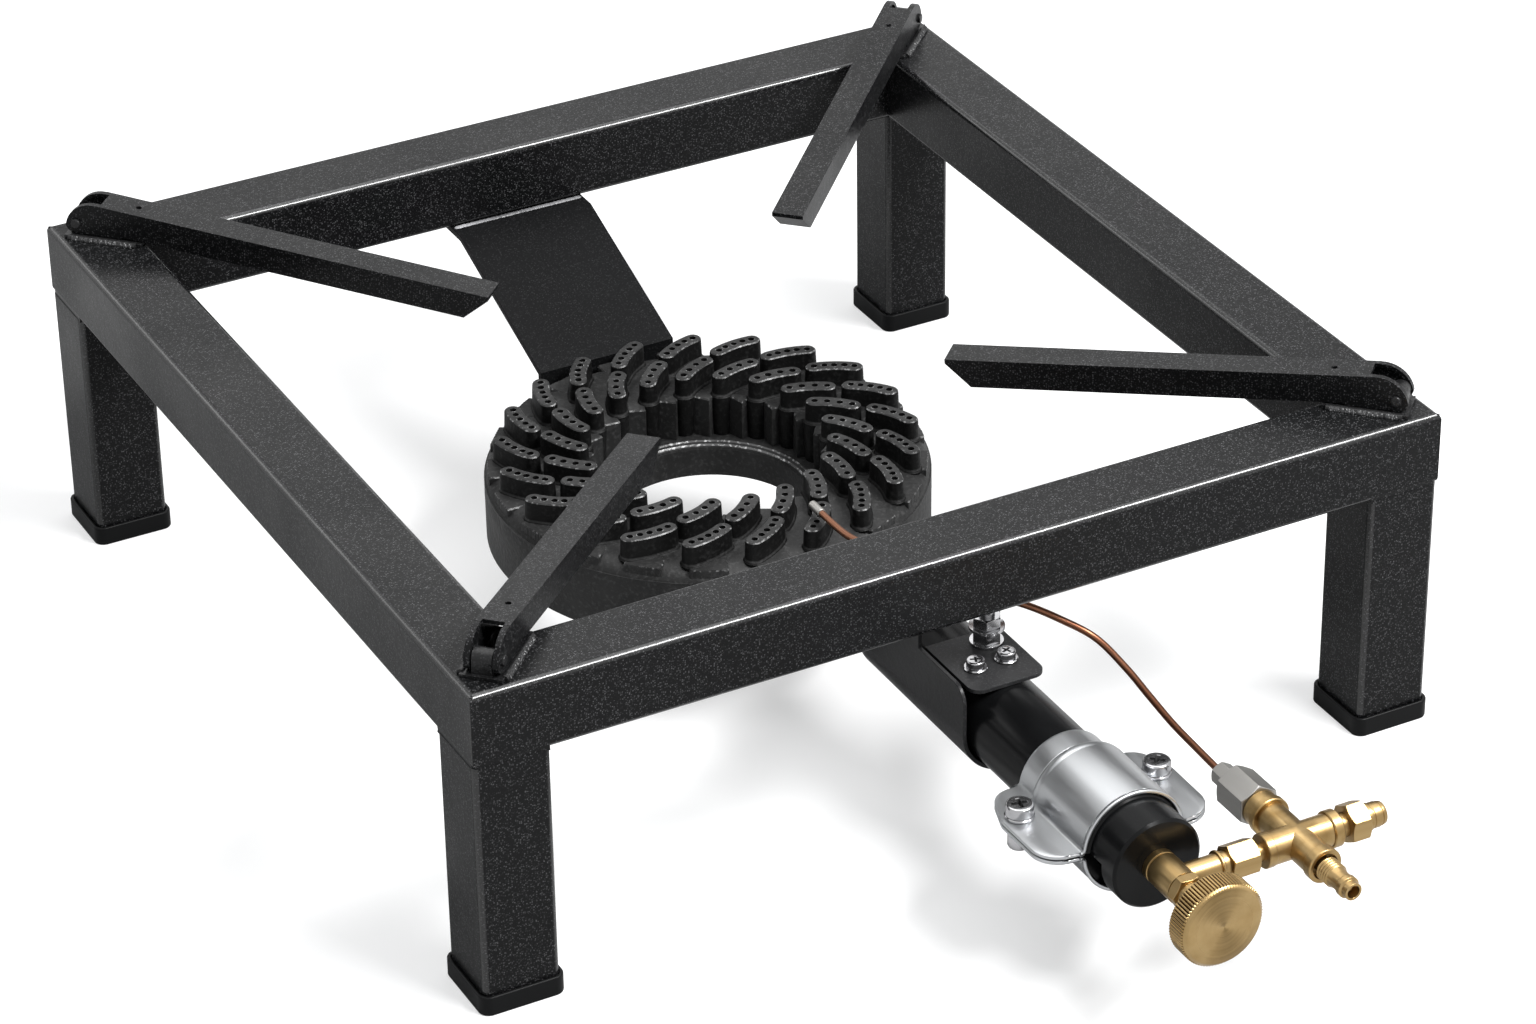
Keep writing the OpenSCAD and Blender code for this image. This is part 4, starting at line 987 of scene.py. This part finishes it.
def makeClampScrews(spec):
    bm = bmesh.new()
    for side, turn in zip((-1, 1), spec["turns"]):
        place = uprightAt(side * spec["set"], 0, spec["at"])
        addScrewHead(bm, place @ Matrix.Translation((0, 0, spec["earTop"])), spec, turn)
        under = -spec["earTop"]
        low = under - spec["nutLength"]
        washer = [(radius, under + z) for radius, z in spec["lowerWasher"]]
        addSkin(bm, latheRows(washer, 40), place)
        r = spec["nutRadius"]
        nut = [(r - 0.2, under - 1.0), (r, under - 1.3), (r, low + 0.9), (r - 0.3, low + 0.3)]
        nut += [(r - 0.8, low), (2.75, low), (2.6, low + 0.4), (2.6, low + 1.6)]
        addSkin(bm, latheRows(nut, 40), place)
        thread = []
        for k in range(8):
            thread += [(2.1, low + 0.7 + k * 0.5), (2.5, low + 0.95 + k * 0.5)]
        rod = latheRows([(0.4, low + 0.35), (1.9, low + 0.4)] + thread, 32)
        addSkin(bm, rod, place, capFirst=True)
    used, hidden = ["screw", "recess"], ["clamp_screws", "clamp_nuts"]
    addPiece("clampScrews", bm, used, "stand", hidden)


makeClampScrews(clampScrewSpec)

plateSpec = {
    "top": 18.6,
    "screwAt": 188.5,
    "screwX": 6.5,
    "radius": 3.5,
    "height": 2.9,
    "washer": (4.5, 0.9),
    "recess": (1.0, 2.1, 1.3),
    "turns": (-0.4, 0.4),
}


def makePlateScrews(spec):
    bm = bmesh.new()
    for side, turn in zip((-1, 1), spec["turns"]):
        addScrewHead(bm, uprightAt(side * spec["screwX"], spec["top"], spec["screwAt"]), spec, turn)
    addPiece("plateScrews", bm, ["screw", "recess"], "stand", ["plate_screws"])


makePlateScrews(plateSpec)
print("clamp and plate screws made")


# Knob: straight knurl, plain chamfers and a turned face
knobSpec = {"radius": 16.7, "back": 338, "thick": 10.5, "ridges": ridgeCount, "depth": 0.55}


def makeKnob(spec):
    bm = bmesh.new()
    r, low, high = spec["radius"], spec["back"], spec["back"] + spec["thick"]
    steps = spec["ridges"] * 4
    wave = [0.0, 0.85, 1.0, 0.85]
    # radius, station along the axis and share of the ridge depth
    sections = [
        (4.2, low - 2.4, 0), (6.2, low - 2.4, 0), (6.2, low, 0), (r - 1.5, low, 0),
        (r - 0.75, low + 0.6, 0), (r, low + 1.1, 1), (r, low + 4, 1), (r, high - 1.9, 1),
        (r - 0.5, high - 1.6, 0.4), (r - 0.62, high - 1.35, 0), (r - 1.7, high - 0.15, 0),
        (r - 2.0, high, 0), (r * 0.66, high, 0), (r * 0.33, high, 0), (0.8, high, 0),
        (0.3, high - 0.15, 0),
    ]
    rows = []
    for radius, z, amount in sections:
        row = []
        for k, turn in enumerate(turnSteps(steps)):
            cut = spec["depth"] * amount * (1 - wave[k % 4])
            row.append(polar(radius - cut, turn, z))
        rows.append(row)
    # the knurl rows take the painted valley shade, the face rows the painted sheen
    addSkin(bm, rows, tubeFrame, capLast=True, slots=[0] * 5 + [2] * 3 + [0] + [1] * 6)
    used = ["brassForward", "brassFace", "brassKnurl"]
    addPiece("knurledKnob", bm, used, "hand_knob", ["knob"], sharp=28)


makeKnob(knobSpec)
print("knob made")


weldSpecs = {
    "step": 0.4,
    "body": 0.86,
    "wave": 0.14,
    "uneven": 0.05,
    "drift": 0.1,
    "pin": (266.443, 0, 140.5),
    "hingeSpan": (-2.5, 26),
    "hingeSide": 8.3,
    "hingeDrop": -6.1,
    "hingeRadius": 1.6,
    "hingeRipple": 2.1,
    "stripHalf": 29.5,
    "stripBack": 169.6,
    "stripRise": 103.4,
    "stripRadius": 1.3,
    "stripRipple": 1.9,
}


# Lumpy weld bead from one point to another, with ripples along it
def addBead(bm, spec, start, end, radius, ripple, luck):
    length = (end - start).length
    ahead = (end - start).normalized()
    side = ahead.cross(Vector((0, 0, 1))).normalized()
    lift = side.cross(ahead)
    uneven = spec["uneven"]
    stations = max(6, int(length / (spec["step"] * mm)))
    rows = []
    for k in range(stations + 1):
        t = k / stations
        ends = min(1, math.sqrt(min(t, 1 - t) * length / radius + 0.02))
        wave = spec["wave"] * abs(math.sin(math.pi * t * length / ripple))
        swell = radius * ends * (spec["body"] + wave + luck.uniform(-uneven, uneven))
        drift = side * luck.uniform(-spec["drift"], spec["drift"]) * mm
        rows.append(circleRow(start + ahead * (t * length) + drift, swell, side, lift, 12))
    addSkin(bm, rows, Matrix.Identity(4), capFirst=True, capLast=True)


# The pin of a pot arm, with local x along the arm to the stand's middle
def hingeFrame(pin, angle):
    spin = frameAt(atStand(0, 0, 0), (0, 0, angle))
    return spin @ Matrix.Translation(pin) @ Matrix.Rotation(math.pi, 4, "Z")


def makeWelds(spec):
    luck = random.Random(5)
    bm = bmesh.new()
    drop = spec["hingeDrop"]
    for angle in (225, 315, 45, 135):
        place = hingeFrame(spec["pin"], angle)
        for side in (-spec["hingeSide"], spec["hingeSide"]):
            start, end = (place @ Vector((x, side, drop)) for x in spec["hingeSpan"])
            addBead(bm, spec, start, end, spec["hingeRadius"] * mm, spec["hingeRipple"] * mm, luck)
    addPiece("hingeWelds", bm, ["bead"], "stand", sharp=80)
    bm = bmesh.new()
    half = spec["stripHalf"]
    start, end = (atStand(ringX + x, spec["stripBack"], spec["stripRise"]) for x in (-half, half))
    addBead(bm, spec, start, end, spec["stripRadius"] * mm, spec["stripRipple"] * mm, luck)
    addPiece("stripWeld", bm, ["weldBright"], "stand", sharp=80)


makeWelds(weldSpecs)

# Ground flush seams of the frame: round the tops of the legs and along the mitres
seamSpec = {
    "half": 200,
    "corner": 2.6,
    "legSide": 30,
    "legGap": 0.4,
    "mitreEnds": (0.6, 29.6),
    "dip": -0.5,
    "low": 104,
    "top": 134,
    "legSection": [
        (-1.4, -0.5), (0.02, -0.6), (-0.12, -0.1), (-0.22, 0.4), (-0.1, 1.4), (0.01, 2.5),
        (-1.4, 2.0),
    ],
    "mitreSection": [
        (-0.6, -0.4), (-0.32, 0.0), (-0.12, 0.06), (0.12, 0.06), (0.32, 0.0), (0.6, -0.4),
    ],
}


# Bar with one section along stations, each of them a centre, a side and a lift
def addBar(bm, section, stations):
    rows = [[centre + side * a + lift * b for a, b in section] for centre, side, lift in stations]
    addSkin(bm, rows, frameAt(atStand(0, 0, 0)), capFirst=True, capLast=True)


def makeSeams(spec):
    bm = bmesh.new()
    up = Vector((0, 0, 1))
    half, corner, low, top = spec["half"], spec["corner"], spec["low"], spec["top"]
    legEnd = half - spec["legSide"] + spec["legGap"]
    for quarter in range(4):
        spin = Matrix.Rotation(quarter * math.pi / 2, 3, "Z")
        stations = [(Vector((half, legEnd, low)), Vector((1, 0, 0)))]
        for k in range(9):
            out = polar(1, math.pi / 2 * k / 8)
            stations.append((Vector((half - corner, half - corner, low)) + out * corner, out))
        stations.append((Vector((legEnd, half, low)), Vector((0, 1, 0))))
        addBar(bm, spec["legSection"], [(spin @ p, spin @ out, up) for p, out in stations])
        start, end = (Vector((half - gap, half - gap, top)) for gap in spec["mitreEnds"])
        side = spin @ Vector((1, -1, 0)).normalized()
        steps = [(0, spec["dip"])] + [(t / 12, 0.0) for t in range(1, 12)] + [(1, spec["dip"])]
        stations = [(spin @ start.lerp(end, t) + up * drop, side, up) for t, drop in steps]
        addBar(bm, spec["mitreSection"], stations)
    addPiece("frameSeams", bm, ["powder"], "stand")


makeSeams(seamSpec)
print("weld beads and seams made")


# Capillary of the flame guard: the same route as its solid, in millimetres about the stand's middle
probeSpec = {
    "radius": 1.4,
    "sides": 14,
    "steps": 8,
    "route": [
        (63.3, -283, 57), (63.3, -266.5, 57), (63.6, -250, 57.5), (63.4, -234, 59),
        (63.2, -218, 62), (62, -203, 66.5), (57.5, -189, 73), (47, -181, 80),
        (36, -174.5, 86), (26, -168.5, 89.5), (19, -160, 91.3), (14.8, -149, 91.5),
        (13, -138, 91), (10, -126, 90), (5, -114, 88.5), (2.5, -104, 87),
        (1.8, -94, 86.2), (1.8, -80, 86),
    ],
}


# Curve through the points, each stretch led by its two neighbours
def smoothRoute(points, steps):
    line = []
    for i in range(len(points) - 1):
        a, b, c, d = (points[max(0, min(len(points) - 1, i + k))] for k in (-1, 0, 1, 2))
        for k in range(steps):
            u = k / steps
            bend = (2 * a - 5 * b + 4 * c - d) * u * u + (3 * b - a - 3 * c + d) * u * u * u
            line.append((2 * b + (c - a) * u + bend) / 2)
    return line + [points[-1]]


def makeProbe(spec):
    line = smoothRoute([Vector(p) for p in spec["route"]], spec["steps"])
    side = Vector((1, 0, 0))
    rows = []
    for i, point in enumerate(line):
        ahead = (line[min(i + 1, len(line) - 1)] - line[max(i - 1, 0)]).normalized()
        side = (side - side.dot(ahead) * ahead).normalized()
        rows.append(circleRow(point, spec["radius"], side, ahead.cross(side), spec["sides"]))
    bm = bmesh.new()
    addSkin(bm, rows, frameAt(atStand(0, 0, 0)), capFirst=True, capLast=True)
    addPiece("probeTube", bm, ["copper"], "stand", ["probe_tube"])


makeProbe(probeSpec)
print("probe tube made")


# Floor, world and lamps
stageSpec = {
    "floorSize": 8.0,
    "cameraLift": 0.5,
    "fade": (0.8, 2.0),
    "floorColour": (0.52, 0.52, 0.52, 1),
    "bounceColour": (0.45, 0.45, 0.45, 1),
    "fillColour": (0.94, 0.97, 1.0, 1),
    "fill": 0.42,
}


# One shader for the named kinds of rays and another for the rest, into the output
def mixByRays(tree, kinds, shown, other, outKind):
    path = tree.nodes.new("ShaderNodeLightPath")
    mask = path.outputs[kinds[0]]
    for kind in kinds[1:]:
        mask = addMath(tree, "MAXIMUM", mask, path.outputs[kind])
    shaders = {0: mask, 1: other.outputs[0], 2: shown.outputs[0]}
    mix = addNode(tree, "ShaderNodeMixShader", shaders)
    out = tree.nodes.new(outKind)
    tree.links.new(mix.outputs[0], out.inputs["Surface"])


# Paper floor: lifted to white for the camera and kept plain for light that bounces
def makeFloor(spec):
    mesh = bpy.data.meshes.new("floor")
    half = spec["floorSize"] / 2
    low = cadBox[0].z
    corners = [(-half, -half, low), (half, -half, low), (half, half, low), (-half, half, low)]
    mesh.from_pydata(corners, [], [(0, 1, 2, 3)])
    floor = bpy.data.objects.new("floor", mesh)
    bpy.context.scene.collection.objects.link(floor)
    material = bpy.data.materials.new("floorPaper")
    material.use_nodes = True
    tree = material.node_tree
    tree.nodes.clear()
    seen = addNode(tree, "ShaderNodeBsdfDiffuse", {"Color": spec["floorColour"]})
    bounce = addNode(tree, "ShaderNodeBsdfDiffuse", {"Color": spec["bounceColour"]})
    # the paper grows white away from the stove, where the lamps no longer reach
    place = tree.nodes.new("ShaderNodeTexCoord").outputs["Object"]
    away = addVector(tree, "LENGTH", place)
    far = addRamp(tree, away.outputs["Value"], *spec["fade"])
    lift = spec["cameraLift"]
    strength = addMath(tree, "ADD", scaled(tree, far, 1 - lift), lift)
    glow = addNode(tree, "ShaderNodeEmission", {"Color": (1, 1, 1, 1), "Strength": strength})
    lifted = addNode(tree, "ShaderNodeAddShader", {0: seen.outputs[0], 1: glow.outputs[0]})
    rays = ["Is Camera Ray", "Is Transmission Ray"]
    mixByRays(tree, rays, lifted, bounce, "ShaderNodeOutputMaterial")
    mesh.materials.append(material)


# World: white for the camera and for reflections, a soft bluish fill for the rest
def makeWorld(spec):
    world = bpy.data.worlds.new("studio")
    bpy.context.scene.world = world
    world.use_nodes = True
    tree = world.node_tree
    tree.nodes.clear()
    seen = addNode(tree, "ShaderNodeBackground", {"Color": (1, 1, 1, 1), "Strength": 1.0})
    fillLight = {"Color": spec["fillColour"], "Strength": spec["fill"]}
    fill = addNode(tree, "ShaderNodeBackground", fillLight)
    rays = ["Is Camera Ray", "Is Glossy Ray", "Is Transmission Ray"]
    mixByRays(tree, rays, seen, fill, "ShaderNodeOutputWorld")


# Soft boxes, placed and aimed from a point above the stand's middle
lampSpecs = [
    {"name": "keyBox", "from": (0.8, -1.05, 1.6), "size": (1.3, 0.35), "power": 75},
    {"name": "backBox", "from": (0.6, 1.6, 1.25), "size": (1.0, 0.8), "power": 2.2},
    {"name": "rimBox", "from": (-1.2, 1.7, 0.95), "size": (1.0, 0.5), "power": 3},
    {"name": "topBox", "from": (0.1, 0.3, 2.2), "size": (2.4, 2.4), "power": 40},
]


def makeLight(spec, target):
    data = bpy.data.lights.new(spec["name"], "AREA")
    data.shape = "RECTANGLE"
    data.size, data.size_y = spec["size"]
    data.energy = spec["power"]
    light = bpy.data.objects.new(spec["name"], data)
    bpy.context.scene.collection.objects.link(light)
    light.location = target + Vector(spec["from"])
    light.rotation_euler = (target - light.location).to_track_quat("-Z", "Y").to_euler()
    light.visible_camera = False


makeFloor(stageSpec)
makeWorld(stageSpec)
for lampSpec in lampSpecs:
    makeLight(lampSpec, Vector((0, standY, cameraSpec["aimHeight"])))
bpy.context.scene.view_settings.view_transform = "Standard"
print("stage and lights made")
